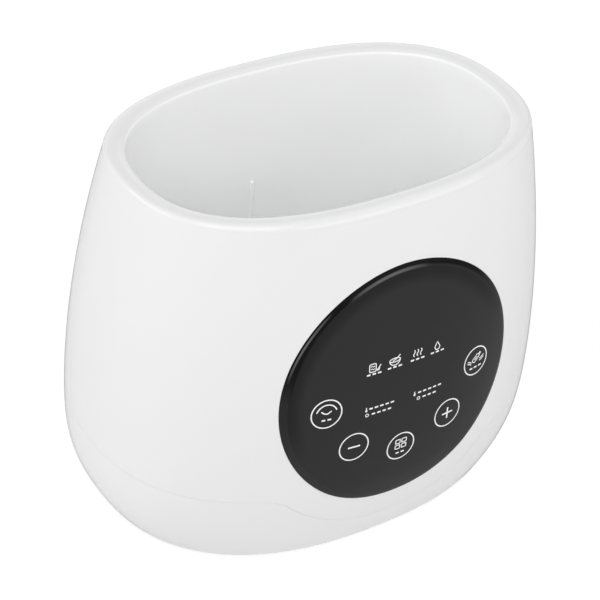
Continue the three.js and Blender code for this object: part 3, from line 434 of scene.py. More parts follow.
def material(name, color, roughness, metallic=0.0, ior=1.5, specular=0.5, grain=None, mottle=None,
             toned=False, turned_shade=None):
    """Principled shader. grain is (scale, strength) of a fine bump. mottle is (scale, low, high,
    tint) of the roughness, with a trace of the same pattern in the colour. A toned one is coloured
    by its mesh. brow is (power, share) of a painted shade, a soft darkening where the surface turns
    away from the eye, standing in for dark studio walls."""
    made = bpy.data.materials.new(name)
    made.use_nodes = True
    tree = made.node_tree
    shader = tree.nodes["Principled BSDF"]
    shader.inputs["Base Color"].default_value = (*color, 1)
    shader.inputs["Metallic"].default_value = metallic
    shader.inputs["IOR"].default_value = ior
    shader.inputs["Specular IOR Level"].default_value = specular
    shader.inputs["Roughness"].default_value = roughness
    where = tree.nodes.new("ShaderNodeTexCoord")
    if mottle:
        scale, low, high, tint = mottle
        cloud = tree.nodes.new("ShaderNodeTexNoise")
        cloud.inputs["Scale"].default_value = scale
        cloud.inputs["Detail"].default_value = MOTTLE_DETAIL
        tree.links.new(where.outputs["Object"], cloud.inputs["Vector"])
        spread = tree.nodes.new("ShaderNodeMapRange")
        spread.inputs["To Min"].default_value = low
        spread.inputs["To Max"].default_value = high
        tree.links.new(cloud.outputs["Fac"], spread.inputs["Value"])
        tree.links.new(spread.outputs["Result"], shader.inputs["Roughness"])
    if mottle and not toned:
        ramp = tree.nodes.new("ShaderNodeValToRGB")
        ramp.color_ramp.elements[0].color = (*[c * (1 - tint) for c in color], 1)
        ramp.color_ramp.elements[1].color = (*[min(1, c * (1 + tint)) for c in color], 1)
        tree.links.new(cloud.outputs["Fac"], ramp.inputs["Fac"])
        tree.links.new(ramp.outputs["Color"], shader.inputs["Base Color"])
        if turned_shade:
            paint_turned_shade(tree, ramp, shader, specular, *turned_shade)
    if toned:
        tone = tree.nodes.new("ShaderNodeVertexColor")
        tone.layer_name = "tone"
        tree.links.new(tone.outputs["Color"], shader.inputs["Base Color"])
    if grain:
        scale, strength = grain
        noise = tree.nodes.new("ShaderNodeTexNoise")
        noise.inputs["Scale"].default_value = scale
        noise.inputs["Detail"].default_value = GRAIN_DETAIL
        tree.links.new(where.outputs["Object"], noise.inputs["Vector"])
        bump = tree.nodes.new("ShaderNodeBump")
        bump.inputs["Strength"].default_value = strength
        bump.inputs["Distance"].default_value = GRAIN_DEPTH
        tree.links.new(noise.outputs["Fac"], bump.inputs["Height"])
        tree.links.new(bump.outputs["Normal"], shader.inputs["Normal"])
    return made


def paint_turned_shade(tree, ramp, shader, specular, power, share):
    """Painted shade: darkens the colour and takes the sheen off where the surface turns away."""
    turned = tree.nodes.new("ShaderNodeLayerWeight")
    turned.inputs["Blend"].default_value = 0.5
    raised = tree.nodes.new("ShaderNodeMath")
    raised.operation = "POWER"
    raised.inputs[1].default_value = power
    tree.links.new(turned.outputs["Facing"], raised.inputs[0])
    kept = tree.nodes.new("ShaderNodeMapRange")
    kept.inputs["To Min"].default_value = 1
    kept.inputs["To Max"].default_value = 1 - share
    tree.links.new(raised.outputs[0], kept.inputs["Value"])
    dimmed = tree.nodes.new("ShaderNodeVectorMath")
    dimmed.operation = "SCALE"
    tree.links.new(ramp.outputs["Color"], dimmed.inputs[0])
    tree.links.new(kept.outputs["Result"], dimmed.inputs["Scale"])
    tree.links.new(dimmed.outputs["Vector"], shader.inputs["Base Color"])
    gloss = tree.nodes.new("ShaderNodeMapRange")
    gloss.inputs["From Min"].default_value = TURNED_SHADE_FADE[0]
    gloss.inputs["From Max"].default_value = TURNED_SHADE_FADE[1]
    gloss.inputs["To Min"].default_value = specular
    gloss.inputs["To Max"].default_value = 0
    tree.links.new(turned.outputs["Facing"], gloss.inputs["Value"])
    tree.links.new(gloss.outputs["Result"], shader.inputs["Specular IOR Level"])


def grey(level):
    return (level, level, level)


# The body's white carries a painted shade along its edges where the surface turns away from the eye
WHITE = material("white_gloss", grey(0.868), 0.14, specular=0.42, mottle=(60, 0.11, 0.17, 0.006),
                 grain=(900, 0.02), turned_shade=(6.5, 0.48))
# The liner's white is brighter than the body's white: painted light inside the tank
LIT_LINER = material("lit_liner_gloss", grey(0.966), 0.22, specular=0.35, mottle=(60, 0.18, 0.25, 0.006),
                 grain=(900, 0.02))
LENS_FACE = material("lens_face", grey(0.02), 0.06, ior=1.15, mottle=(120, 0.05, 0.08, 0),
                     toned=True)
LENS_EDGE = material("lens_edge", grey(0.02), 0.1, specular=0.03, mottle=(120, 0.08, 0.12, 0),
                     toned=True)
PRINT = material("print_white", grey(0.95), 0.45, mottle=(900, 0.4, 0.5, 0.02))
RUBBER = material("rubber", grey(0.11), 0.85, mottle=(300, 0.75, 0.95, 0.1), grain=(2500, 0.3))
PLATE = material("plate", (0.62, 0.63, 0.64), 0.35, 1.0, mottle=(150, 0.29, 0.4, 0.03),
                 grain=(1500, 0.05))
STEEL = material("steel", (0.55, 0.56, 0.57), 0.35, 1.0, mottle=(200, 0.29, 0.42, 0.04),
                 grain=(1500, 0.1))
BRASS = material("brass", (0.6, 0.4, 0.1), 0.35, 1.0, mottle=(200, 0.29, 0.42, 0.05))
BLACK = material("black_plastic", grey(0.018), 0.5, mottle=(200, 0.42, 0.6, 0.1),
                 grain=(2500, 0.15))
CREAM = material("cream_plastic", (0.78, 0.73, 0.58), 0.5, mottle=(200, 0.42, 0.6, 0.03),
                 grain=(2000, 0.1))
SMOKED = material("smoked_plastic", (0.04, 0.04, 0.048), 0.33, mottle=(200, 0.29, 0.38, 0.1))
BOARD = material("board_green", (0.013, 0.147, 0.042), 0.45, mottle=(250, 0.38, 0.55, 0.12),
                 grain=(3000, 0.2))
SATIN = material("white_satin", grey(0.83), 0.45, mottle=(100, 0.4, 0.5, 0.01))
BLUE = material("relay_blue", (0.072, 0.159, 0.342), 0.5, mottle=(200, 0.42, 0.6, 0.05))
FOAM = material("foam", grey(0.012), 0.95, mottle=(800, 0.88, 1.0, 0.3), grain=(3000, 0.6))
SILICONE = material("silicone", (0.69, 0.66, 0.6), 0.6, mottle=(200, 0.52, 0.68, 0.03))
LEADS = {
    "brown": material("lead_brown", (0.147, 0.054, 0.019), 0.5, mottle=(400, 0.42, 0.6, 0.05)),
    "blue": material("lead_blue", (0.028, 0.114, 0.392), 0.5, mottle=(400, 0.42, 0.6, 0.05)),
    "white": material("lead_white", grey(0.73), 0.5, mottle=(400, 0.42, 0.6, 0.02)),
}


def dress(thing, *materials):
    thing.data.materials.clear()
    for one in materials:
        thing.data.materials.append(one)


def add_piece(thing, material_made, slot, *nodes):
    dress(thing, material_made)
    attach(thing, "root")
    if nodes:
        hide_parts(*nodes)
    return thing


# Seam: what lies below it, as cutting bodies


def seam_outline(clearance, floor_z):
    """The seam as seen from the front, this far below its line, closed off at a height."""
    arc = PANEL_R + SEAM_MARGIN
    level = SEAM_Z - clearance
    fillet_z = SEAM_Z - SEAM_FILLET
    rise = PANEL_Z - fillet_z
    fillet_x = math.sqrt((arc + SEAM_FILLET) ** 2 - rise ** 2)
    turn = math.atan2(rise, fillet_x)
    far = GIRTH[0] + OVERRUN
    outline = [(far, floor_z), (far, level)]

    def bend(x, z, radius, start, end, count):
        for at in steps(start, end, count):
            outline.append((x + radius * math.cos(at), z + radius * math.sin(at)))

    bend(fillet_x, fillet_z, SEAM_FILLET - clearance, math.pi / 2, math.pi - turn, 10)
    bend(0, PANEL_Z, arc + clearance, -turn, turn - math.pi, 60)
    bend(-fillet_x, fillet_z, SEAM_FILLET - clearance, turn, math.pi / 2, 10)
    outline += [(-far, level), (-far, floor_z)]
    return outline


def below_seam(clearance):
    """What lies below the seam, as two bodies to cut the housing by."""
    reach, base = GIRTH[1] + OVERRUN, -OVERRUN
    front = prism("below_front", seam_outline(clearance, base), -reach, OVERLAP, "Y")
    far = GIRTH[0] + OVERRUN
    level = SEAM_Z - clearance
    outline = [(far, base), (far, level), (-far, level), (-far, base)]
    return front, prism("below_back", outline, 0, reach, "Y")


def above_seam(clearance):
    """What lies above the seam, as two bodies to cut the cover by."""
    reach, top = GIRTH[1] + OVERRUN, SEAM_Z + 40
    outline = seam_outline(-clearance, top)
    front = prism("above_front", outline[::-1], -reach, OVERLAP, "Y")
    far = GIRTH[0] + OVERRUN
    level = SEAM_Z + clearance
    outline = [(far, top), (-far, top), (-far, level), (far, level)]
    return front, prism("above_back", outline, 0, reach, "Y")


# Round forms laid on the curved front


def on_panel(x, z, proud):
    return (x, wall_y(x, PANEL_Z + z, proud), PANEL_Z + z)


def panel_form(name, profile, sides=160):
    """A turned form about the panel's axis, from (radius, proud) pairs, bent to the front wall."""
    rings = []
    for radius, proud in profile:
        count = 1 if radius == 0 else sides
        turns = [2 * math.pi * i / sides for i in range(count)]
        rings.append([on_panel(radius * math.cos(t), radius * math.sin(t), proud) for t in turns])
    return loft(name, rings)


def spread(low, high, pitch):
    """Even steps from low to high, close to a pitch apart."""
    return steps(low, high, max(1, round(abs(high - low) / pitch)))


# Housing


MOUTH_FOOT = HEIGHT - MOUTH_FALL


def rim_round(turn):
    """The shoulder's rounding, larger at the front and back than at the ends."""
    return RIM_ROUND[0] * math.cos(turn) ** 2 + RIM_ROUND[1] * math.sin(turn) ** 2


def shoulder_ring(tilt, share=1.0):
    """A ring over the shoulder, at a tilt from the wall, or at a share of the way up to it."""
    points = []
    for turn in EVEN_TURNS:
        bend = rim_round(turn)
        foot = HEIGHT - bend
        if share < 1:
            z = WALL_TOP + (foot - WALL_TOP) * share
            points.append((*on_form(section(z), turn), z))
        else:
            inset = bend * (1 - math.cos(tilt))
            points.append((*on_form(section(foot, inset), turn), foot + bend * math.sin(tilt)))
    return points


def mouth_rings():
    """From the rim's level land, falling ever more steeply to the tank's wall."""
    width = RIM_BAND - RIM_LAND_END
    rings = []
    for turn in quarter(12):
        inward, up = (f(turn) ** (2 / FALL_POWER) for f in (math.sin, math.cos))
        z = MOUTH_FOOT + MOUTH_FALL * up
        rings.append(ring(tank_section(z, width * (1 - inward)), z))
    return rings


def housing_rings():
    rings = [ring(section(z), z) for z in spread(HOUSING_LOW, WALL_TOP, 2.5)]
    rings += [shoulder_ring(0, share) for share in (0.35, 0.7)]
    rings += [shoulder_ring(tilt) for tilt in quarter(8)]
    rings += mouth_rings()
    skirt_z = HEIGHT - SKIRT_DEPTH
    rings += [ring(tank_section(z), z) for z in spread(MOUTH_FOOT, skirt_z, 2.5)[1:]]
    shown = len(rings)
    under = HEIGHT - TOP_WALL
    rings.append(ring(tank_section(skirt_z, SKIRT_WALL), skirt_z))
    rings.append(ring(tank_section(under, SKIRT_WALL), under))
    rings += [ring(section(z, HOUSING_WALL), z) for z in spread(under, HOUSING_LOW, 5)]
    return rings, shown


def make_housing():
    rings, shown = housing_rings()
    housing = loft("housing_shell", rings, closed=True)
    sheet = loft("housing_sheet", rings[:shown], caps=False)
    cut(housing, *below_seam(-SEAM_GAP / 2))
    edge = PANEL_R + LENS_GAP
    wide = edge + EDGE_ROUND
    face = [(0, SEAT_CUT), *((r, SEAT_CUT) for r in spread(RING_PITCH, edge, RING_PITCH))]
    lip = [(wide, SEAT_CUT), (wide, 0), (edge, -EDGE_ROUND), (edge, -LEDGE_DEPTH)]
    floor = [(r, -LEDGE_DEPTH) for r in spread(edge, RING_PITCH, RING_PITCH)[1:]]
    cut(housing, panel_form("seat_cutter", [*face, *lip, *floor, (0, -LEDGE_DEPTH)][::-1]))
    window = PANEL_R - LEDGE_WIDTH
    turns = steps(0, 2 * math.pi, 96)[:-1]
    circle = [(window * math.cos(t), PANEL_Z + window * math.sin(t)) for t in turns]
    cut(housing, prism("window_cutter", circle, -GIRTH[1] - OVERRUN, -MOUTH[1] - WINDOW_STOP, "Y"))
    follow(housing, sheet)
    add_piece(housing, WHITE, "white_gloss", "outer_housing")
    # The housing's faces down in the mouth take the liner's brighter white, the same painted light
    housing.data.materials.append(LIT_LINER)
    for face in housing.data.polygons:
        x, y, z = face.center / MM
        half_length, half_width, power = tank_section(z, SKIRT_WALL / 2)
        within = abs(x / half_length) ** power + abs(y / half_width) ** power < 1
        if within and z < MOUTH_FOOT + MOUTH_FALL / 2:
            face.material_index = 1
    return housing


# Bottom cover


def corners(place):
    return [(sx * place[0], sy * place[1]) for sx, sy in ((1, 1), (-1, 1), (-1, -1), (1, -1))]


def well_places():
    box_low, box_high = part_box("base_screw_1")
    return corners([abs(box_low[i] + box_high[i]) / 2 / MM for i in range(2)])


INLET_FOOT_Y = -wall_y(INLET_FLANGE[0] / 2, INLET_Z - INLET_FLANGE[1] / 2)
INLET_SEAT_Y = INLET_FOOT_Y - INLET_FLANGE[2] - FIT


def make_cover():
    top = SEAM_Z + 3
    floor_z = FOOT_Z + COVER_FLOOR
    rings = []
    for turn in quarter(5):
        z = FOOT_Z + SOLE_ROUND * (1 - math.cos(turn))
        rings.append(ring(section(FOOT_Z + SOLE_ROUND, SOLE_ROUND * (1 - math.sin(turn))), z))
    rings += [ring(section(z), z) for z in spread(FOOT_Z + SOLE_ROUND, top, 1.6)[1:]]
    shown = len(rings)
    rings += [ring(section(z, COVER_WALL), z) for z in spread(top, floor_z, 4)]
    cover = loft("cover_shell", rings)
    sheet = loft("cover_sheet", rings[:shown], caps=False)
    wells = well_places()
    well_foot, well_top = FOOT_Z + WELL_BOND, floor_z + WELL_H
    well = [(0, well_foot), (WELL_R, well_foot), (WELL_R, well_top), (0, well_top)]
    for x, y in wells:
        join(cover, lathe("well", well, (x, y, 0)))
    outside = GIRTH[1] + OVERRUN
    width, height, _, bend = INLET_FLANGE
    outline = rounded(width + PAD_MARGIN, height + PAD_MARGIN, bend, (0, INLET_Z))
    pad = prism("pad", outline, INLET_SEAT_Y - PAD_THICK, outside, "Y")
    heights = spread(FOOT_Z + PAD_BOND, SEAM_Z, 3)
    hold = loft("pad_hold", [ring(section(z, PAD_BOND), z) for z in heights])
    combine(pad, hold, "INTERSECT")
    join(cover, pad)
    cut(cover, *above_seam(-SEAM_GAP / 2))
    foot_r, foot_z = FOOT_R + FIT, FOOT_Z + FOOT_SUNK
    socket = [(0, CUT_START), (foot_r, CUT_START), (foot_r, foot_z), (0, foot_z)]
    for x, y in corners(FOOT_PLACE):
        cut(cover, lathe("socket", socket, (x, y, 0)))
    head_r, head_z, hole_r = SCREW_HEAD_R + FIT, floor_z + WELL_H - COVER_FLOOR, SCREW_R + FIT
    bore = [(0, CUT_START), (head_r, CUT_START), (head_r, head_z), (hole_r, head_z)]
    bore += [(hole_r, SCREW_HOLE_TOP), (0, SCREW_HOLE_TOP)]
    for x, y in wells:
        cut(cover, lathe("counterbore", bore, (x, y, 0), sides=48))
    for side in (-1, 1):
        for i in range(VENTS):
            y = (i - (VENTS - 1) / 2) * VENT_PITCH
            vent = rounded(*VENT, VENT[1] * VENT_ROUND, (side * VENT_X, y))
            cut(cover, prism("vent", vent, CUT_START, VENT_CUT_TOP))
    seat = rounded(width + 2 * FIT, height + 2 * FIT, bend, (0, INLET_Z))
    cut(cover, prism("seat", seat, INLET_SEAT_Y, outside, "Y"))
    width, height, _, bend = INLET_BODY
    hole = rounded(width + 2 * FIT, height + 2 * FIT, bend, (0, INLET_Z))
    cut(cover, prism("hole", hole, INLET_SEAT_Y - INLET_HOLE, outside, "Y"))
    follow(cover, sheet)
    return add_piece(cover, WHITE, "white_gloss", "bottom_cover")


# Tank


RIB_SHARES = (0, 0.3, 0.55, 0.75, 0.88, 0.95, 0.99, 1.02, 1.1, 1.3)


def tank_turns():
    """Even turns round the tank, and closer ones across the rib at the middle of the back wall."""
    close = [(share * RIB_HALF / MOUTH[0]) ** (MOUTH_SQUARENESS / 2) for share in RIB_SHARES]
    turns = [t for t in EVEN_TURNS if abs(t - math.pi / 2) > close[-1] * 1.1]
    turns += [math.pi / 2 + t for t in close] + [math.pi / 2 - t for t in close[1:]]
    return sorted(turns)


def with_rib(points, z):
    """The wall's ring, drawn in over the rib."""
    above = max(0.0, z - (RIB_TOP - RIB_HALF)) / RIB_HALF
    if above >= 1:
        return points
    half = RIB_HALF * math.sqrt(1 - above ** 2)
    made = []
    for x, y, z in points:
        off = abs(x) / half
        if y > 0 and off < 1:
            y -= RIB_DEPTH * math.sqrt((1 - above ** 2) * (1 - off ** 3))
        made.append((x, y, z))
    return made


def make_tank():
    turns = tank_turns()
    under = TANK_FLOOR_Z - TANK_FLOOR_THICK
    foot = tank_section(under, TANK_WALL)
    dish = grown(foot, -FLANGE_INSET - DISH_INSET)
    hole = grown(dish, FIT)
    skirt_z = HEIGHT - SKIRT_DEPTH
    top = skirt_z - JOINT_GAP
    collar_in = SKIRT_WALL + COLLAR_GAP
    collar_out = collar_in + COLLAR_WALL
    collar_top = HEIGHT - TOP_WALL - FIT
    forms = [(hole, under), (foot, under)]
    for z in spread(under, skirt_z - 2 * TANK_WALL, 20)[1:]:
        forms.append((tank_section(z, TANK_WALL), z))
    forms.append((tank_section(top - TANK_WALL, collar_out), top - TANK_WALL))
    forms.append((tank_section(collar_top, collar_out), collar_top))
    forms.append((tank_section(collar_top, collar_in), collar_top))
    forms.append((tank_section(top, collar_in), top))
    rings = [ring(form, z, turns) for form, z in forms]
    round_top = TANK_FLOOR_Z + FLOOR_ROUND
    heights = spread(top, RIB_TOP, 5)
    heights += [RIB_TOP - RIB_HALF * (1 - math.cos(t)) for t in quarter(6)[1:]]
    heights += spread(heights[-1], round_top, 5)[1:]
    rings += [with_rib(ring(tank_section(z), z, turns), z) for z in heights]
    for turn in quarter(8)[1:]:
        z = TANK_FLOOR_Z + FLOOR_ROUND * (1 - math.sin(turn))
        form = tank_section(z, -FLOOR_ROUND * (1 - math.cos(turn)))
        rings.append(with_rib(ring(form, z, turns), z))
    rings.append(ring(hole, TANK_FLOOR_Z, turns))
    return add_piece(loft("tank_liner", rings, closed=True), LIT_LINER, "white_gloss", "inner_tank")


def make_plate():
    foot = tank_section(TANK_FLOOR_Z - TANK_FLOOR_THICK, TANK_WALL)
    flange = grown(foot, -FLANGE_INSET)
    dish = grown(flange, -DISH_INSET)
    inner = grown(dish, -PLATE_THICK)
    top = TANK_FLOOR_Z - PLATE_DROP
    under = FLANGE_TOP - PLATE_THICK
    rings = [ring(inner, top - PLATE_THICK), ring(inner, under)]
    rings += [ring(flange, under), ring(flange, FLANGE_TOP), ring(dish, FLANGE_TOP)]
    for turn in quarter(6):
        z = top - PLATE_ROUND * (1 - math.sin(turn))
        rings.append(ring(grown(dish, -PLATE_ROUND * (1 - math.cos(turn))), z))
    return add_piece(loft("plate_dish", rings), PLATE, "plate_aluminium", "heating_plate")


# Panel lens and its prints


def smooth(low, high, value):
    """Zero up to low, one from high on, and eased in between."""
    share = min(1.0, max(0.0, (value - low) / (high - low)))
    return share * share * (3 - 2 * share)


def toward(turn, middle, low, high):
    return smooth(low, high, 0.5 + 0.5 * math.cos(turn - middle))


# The lens's colour at a place: its face tone, with painted dark reflections round the upper left
# and painted highlights on its edge
def lens_tone_with_painted_reflections(radius, turn):
    start = EDGE_PAINTED_REFLECTION_START[0] + EDGE_PAINTED_REFLECTION_START[1] * math.cos(turn - EDGE_PAINTED_REFLECTION_START[2])
    tone = FACE_TONE
    tone += (RING_PAINTED_REFLECTION_TONE - tone) * toward(turn, *RING_PAINTED_REFLECTION_TURN) * smooth(*RING_PAINTED_REFLECTION_SPAN, radius)
    in_edge = smooth(start - EDGE_PAINTED_REFLECTION_BLEND / 2, start + EDGE_PAINTED_REFLECTION_BLEND / 2, radius)
    tone += (EDGE_PAINTED_REFLECTION_TONE - tone) * toward(turn, *EDGE_PAINTED_REFLECTION_TURN) * in_edge
    for middle, reach, place, width in PAINTED_HIGHLIGHTS:
        along = max(0.0, 1 - ((turn - middle) / reach) ** 2)
        across = max(0.0, 1 - ((radius - place) / width) ** 2)
        tone += (PAINTED_HIGHLIGHT_TONE - tone) * (along * across)
    return tone


def make_lens():
    wide, deep = BEVEL
    flat = PANEL_R - wide
    back = PROUD - LENS_THICK
    chamfer = PANEL_R - LENS_CHAMFER
    profile = [(0, back), *((r, back) for r in spread(RING_PITCH, chamfer, RING_PITCH))]
    profile.append((PANEL_R, back + LENS_CHAMFER))
    for turn in quarter(16):
        profile.append((flat + wide * math.cos(turn), PROUD - deep * (1 - math.sin(turn))))
    profile += [(r, PROUD) for r in spread(flat - 0.2, RING_PAINTED_REFLECTION_SPAN[0], 0.8)]
    profile += [(r, PROUD) for r in spread(RING_PAINTED_REFLECTION_SPAN[0], 4, 4)[1:]]
    profile.append((0, PROUD))
    lens = panel_form("panel_lens_fine", profile)
    add_piece(lens, LENS_FACE, "lens_black", "panel_lens")
    lens.data.materials.append(LENS_EDGE)
    # The tone layer holds the face colour with the painted reflections and painted highlights
    tones = lens.data.color_attributes.new("tone", "FLOAT_COLOR", "CORNER")
    for face in lens.data.polygons:
        x, _, z = face.center / MM
        on_edge = math.hypot(x, z - PANEL_Z) > flat
        face.material_index = int(on_edge)
        for corner in face.loop_indices:
            x, _, z = lens.data.vertices[lens.data.loops[corner].vertex_index].co / MM
            tone = lens_tone_with_painted_reflections(math.hypot(x, z - PANEL_Z), math.atan2(z - PANEL_Z, x))
            if not on_edge:
                tone -= FACE_SHEEN
            tones.data[corner].color = (tone, tone, tone, 1)
    return lens


def panel_frame(x, z):
    """Unit steps across and up along the curved front, at a place on the panel."""
    step = 0.5
    slope_x = (on_panel(x + step, z, 0)[1] - on_panel(x - step, z, 0)[1]) / (2 * step)
    slope_z = (on_panel(x, z + step, 0)[1] - on_panel(x, z - step, 0)[1]) / (2 * step)
    across = Vector((1, slope_x, 0)).normalized()
    up = Vector((0, slope_z, 1))
    up = (up - across * up.dot(across)).normalized()
    return across, up


class Print:
    """Thin raised ink on the lens, gathered into one mesh."""

    THICK = 0.03
    SUNK = 0.12

    def __init__(self, name):
        self.name, self.points, self.faces = name, [], []

    def place(self, spot, centre):
        across, up = panel_frame(*centre)
        x = centre[0] + spot[0] * across.x + spot[1] * up.x
        z = centre[1] + spot[0] * across.z + spot[1] * up.z
        return x, z

    def stroke(self, path, width, centre, closed=False):
        """A line of even width with square ends, along points given about a centre."""
        count = len(path)
        first = len(self.points)
        for i, (x, z) in enumerate(path):
            before = path[(i - 1) % count] if closed or i > 0 else path[i]
            after = path[(i + 1) % count] if closed or i < count - 1 else path[i]
            way = Vector((after[0] - before[0], after[1] - before[1])).normalized()
            side = Vector((-way.y, way.x)) * (width / 2)
            for sign in (1, -1):
                flat = self.place((x + side.x * sign, z + side.y * sign), centre)
                self.points.append(on_panel(*flat, PROUD + self.THICK))
                self.points.append(on_panel(*flat, PROUD - self.SUNK))
        spans = count if closed else count - 1
        for i in range(spans):
            a, b = first + 4 * i, first + 4 * ((i + 1) % count)
            self.faces += [(a, a + 2, b + 2, b), (a + 1, b + 1, b + 3, a + 3)]
            self.faces += [(a, b, b + 1, a + 1), (a + 2, a + 3, b + 3, b + 2)]
        if not closed:
            a, b = first, first + 4 * (count - 1)
            self.faces += [(a, a + 1, a + 3, a + 2), (b, b + 2, b + 3, b + 1)]

    def arc(self, middle, radii, start, end, width, centre, count=24):
        turns = [math.radians(t) for t in steps(start, end, count)]
        whole = abs(end - start) >= 360
        path = []
        for turn in turns[:-1] if whole else turns:
            x, z = radii[0] * math.cos(turn), radii[1] * math.sin(turn)
            path.append((middle[0] + x, middle[1] + z))
        self.stroke(path, width, centre, closed=whole)

    def finish(self):
        made = new_object(self.name, self.points, self.faces)
        return add_piece(made, PRINT, "lens_black")


# Widths of the ink's lines, and places of the signs and marks about the panel's middle
LINE = 0.4
BOLD = 0.68
RING_LINE = 0.5
TEAT_LINE = 0.9
SEGMENT = (1.45, 0.65, 0.85)  # length, height and gap
SIGN_PLACES = ((-14.0, 13.2), (-5.4, 13.3), (4.6, 13.6), (13.5, 13.3))
MARK_PLACES = ((-14.2, 10.6), (-5.4, 10.8), (4.6, 10.9), (13.6, 11.0))
MARK_LENGTH = 6.0
READINGS = ((-11.4, (12.0, 11.2)), (9.9, (12.6, 8.8)))  # middle, and the length of each line
READING_LINES = (-4.05, -6.6)
READING_SIGN = (0.5, 1.6)  # where the sign stands on its line, and how far the marks keep off it


def rounded_box(width, height, radius, middle, tilt=0.0):
    c, s = math.cos(math.radians(tilt)), math.sin(math.radians(tilt))
    outline = rounded(width, height, radius, bends=3)
    return [(middle[0] + c * x - s * z, middle[1] + s * x + c * z) for x, z in outline]


def bar(ink, middle, length, centre, width=BOLD):
    half = length / 2
    ink.stroke([(middle[0] + half * t, middle[1]) for t in steps(-1, 1, 4)], width, centre)


def segments(ink, middle, length, centre):
    """An even row of short level marks, where the real panel has a word."""
    long, high, gap = SEGMENT
    count = round((length + gap) / (long + gap))
    for i in range(count):
        x = middle[0] + (i - (count - 1) / 2) * (long + gap)
        bar(ink, (x, middle[1]), long, centre, high)


def print_keys():
    for name, centre in KEY_PLACES.items():
        ink = Print("print_key_" + name)
        middle = KEY_R - RING_LINE / 2
        ink.arc((0, 0), (middle, middle), 0, 360, RING_LINE, centre, 72)
        SIGNS[name](ink, centre)
        ink.finish()


def sign_preset(ink, centre):
    ink.arc((0, -0.2), (4.1, 4.1), 18, 162, RING_LINE, centre, 24)
    ink.stroke([(-2.1, 1.3), (-1.0, 0.3), (0.3, 0.0), (1.9, 1.0)], RING_LINE, centre)
    segments(ink, (0, -2.6), 4.6, centre)


def sign_minus(ink, centre):
    bar(ink, (0, 0), 5, centre)


def sign_menu(ink, centre):
    for x in (-1.4, 1.4):
        for z in (2.4, -0.1):
            ink.stroke(rounded_box(2.0, 1.7, 0.25, (x, z)), LINE, centre, closed=True)
    segments(ink, (0, -3), 4.6, centre)


def sign_plus(ink, centre):
    bar(ink, (0, 0), 5, centre)
    ink.stroke([(0, 2.5 * t) for t in steps(-1, 1, 4)], BOLD, centre)


def sign_warm(ink, centre):
    """A bottle askew between two pairs of waves."""
    tilt, rise = 38, 1.1
    c, s = math.cos(math.radians(tilt)), math.sin(math.radians(tilt))

    def along(*places):
        return [(place * c, rise + place * s) for place in places]

    ink.stroke(rounded_box(3.8, 1.7, 0.6, (0, rise), tilt), LINE, centre, closed=True)
    ink.stroke(along(-0.9, 0.9), LINE, centre)
    ink.stroke(along(2.2, 3.1), TEAT_LINE, centre)
    for drop in (0, -0.9):
        ink.stroke([(-4.3, 0.9 + drop), (-3.3, 0.6 + drop), (-2.3, -0.1 + drop)], LINE, centre)
    for drop in (0, -0.9):
        ink.stroke([(4.2, 1.2 + drop), (3.2, 0.6 + drop), (2.0, 0.2 + drop)], LINE, centre)
    segments(ink, (0, -2.8), 5.8, centre)


SIGNS = {
    "preset": sign_preset,
    "minus": sign_minus,
    "menu": sign_menu,
    "plus": sign_plus,
    "warm": sign_warm,
}


def print_row():
    """Four small signs over the display: carton, bowl, steam and drop, each over a row of marks."""
    ink = Print("print_signs")
    carton, bowl, steam, water = SIGN_PLACES
    ink.stroke(rounded_box(2.7, 3.3, 0.5, (-0.8, 0)), LINE, carton, closed=True)
    for z in (0.6, -0.5):
        wave = [(-1.6, z - 0.1), (-1.1, z + 0.2), (-0.5, z - 0.2), (0, z + 0.1)]
        ink.stroke(wave, LINE * 0.9, carton)
    ink.stroke([(0.9, -1.3), (1.7, -0.6), (2.6, 0.7)], LINE, carton)
    ink.stroke([(0.9, -1.5), (1.9, -1.3), (2.0, -0.4)], LINE, carton)
    ink.arc((0, 0.4), (2.3, 2.1), 180, 360, LINE, bowl, 16)
    ink.arc((0, 0.4), (2.3, 0.8), 0, 360, LINE, bowl, 20)
    ink.stroke([(-1.0, 0.1), (0.6, 0.8), (1.6, 1.6), (2.3, 2.2)], LINE, bowl)
    for x in (-1.5, 0, 1.5):
        wave = [(x + 0.35 * math.sin(t * math.pi), 1.35 * t) for t in steps(-1, 1, 12)]
        ink.stroke(wave, LINE, steam)
    round_r, start = 1.1, 1.1
    turns = steps(start, 2 * math.pi - start, 16)
    drop_line = [(0, 1.9), (0.5, 1.0)]
    drop_line += [(round_r * math.sin(t), -0.35 + round_r * math.cos(t)) for t in turns]
    drop_line.append((-0.5, 1.0))
    ink.stroke(drop_line, LINE, water, closed=True)
    for place in MARK_PLACES:
        segments(ink, (0, 0), MARK_LENGTH, place)
    ink.finish()


def print_readings():
    """Two lines under each half of the display: a thermometer and a clock, each with marks."""
    ink = Print("print_readings")
    inset, left = READING_SIGN
    for x, lengths in READINGS:
        warm, time = ((x - one / 2 + inset, z) for one, z in zip(lengths, READING_LINES))
        ink.stroke([(0, -0.5), (0, 0.9)], LINE, warm)
        ink.arc((0, -0.5), (0.3, 0.3), 0, 360, LINE, warm, 10)
        ink.arc((0, 0), (0.62, 0.62), 0, 360, LINE * 0.8, time, 20)
        for length, start in zip(lengths, (warm, time)):
            segments(ink, ((left + length - inset) / 2, 0), length - left - inset, start)
    ink.finish()


# Small pieces


def make_feet():
    for i, (x, y) in enumerate(corners(FOOT_PLACE), 1):
        top = FOOT_Z + FOOT_SUNK - FIT
        profile = [(0, 0), (FOOT_INNER_R, 0)]
        for t in quarter(5):
            radius = FOOT_R - FOOT_EDGE + FOOT_EDGE * math.sin(t)
            profile.append((radius, FOOT_EDGE * (1 - math.cos(t))))
        profile += [(FOOT_R, top), (0, top)]
        pad = lathe("foot_pad_%d" % i, profile, (x, y, 0))
        add_piece(pad, RUBBER, "rubber_grey", "foot_%d" % i)


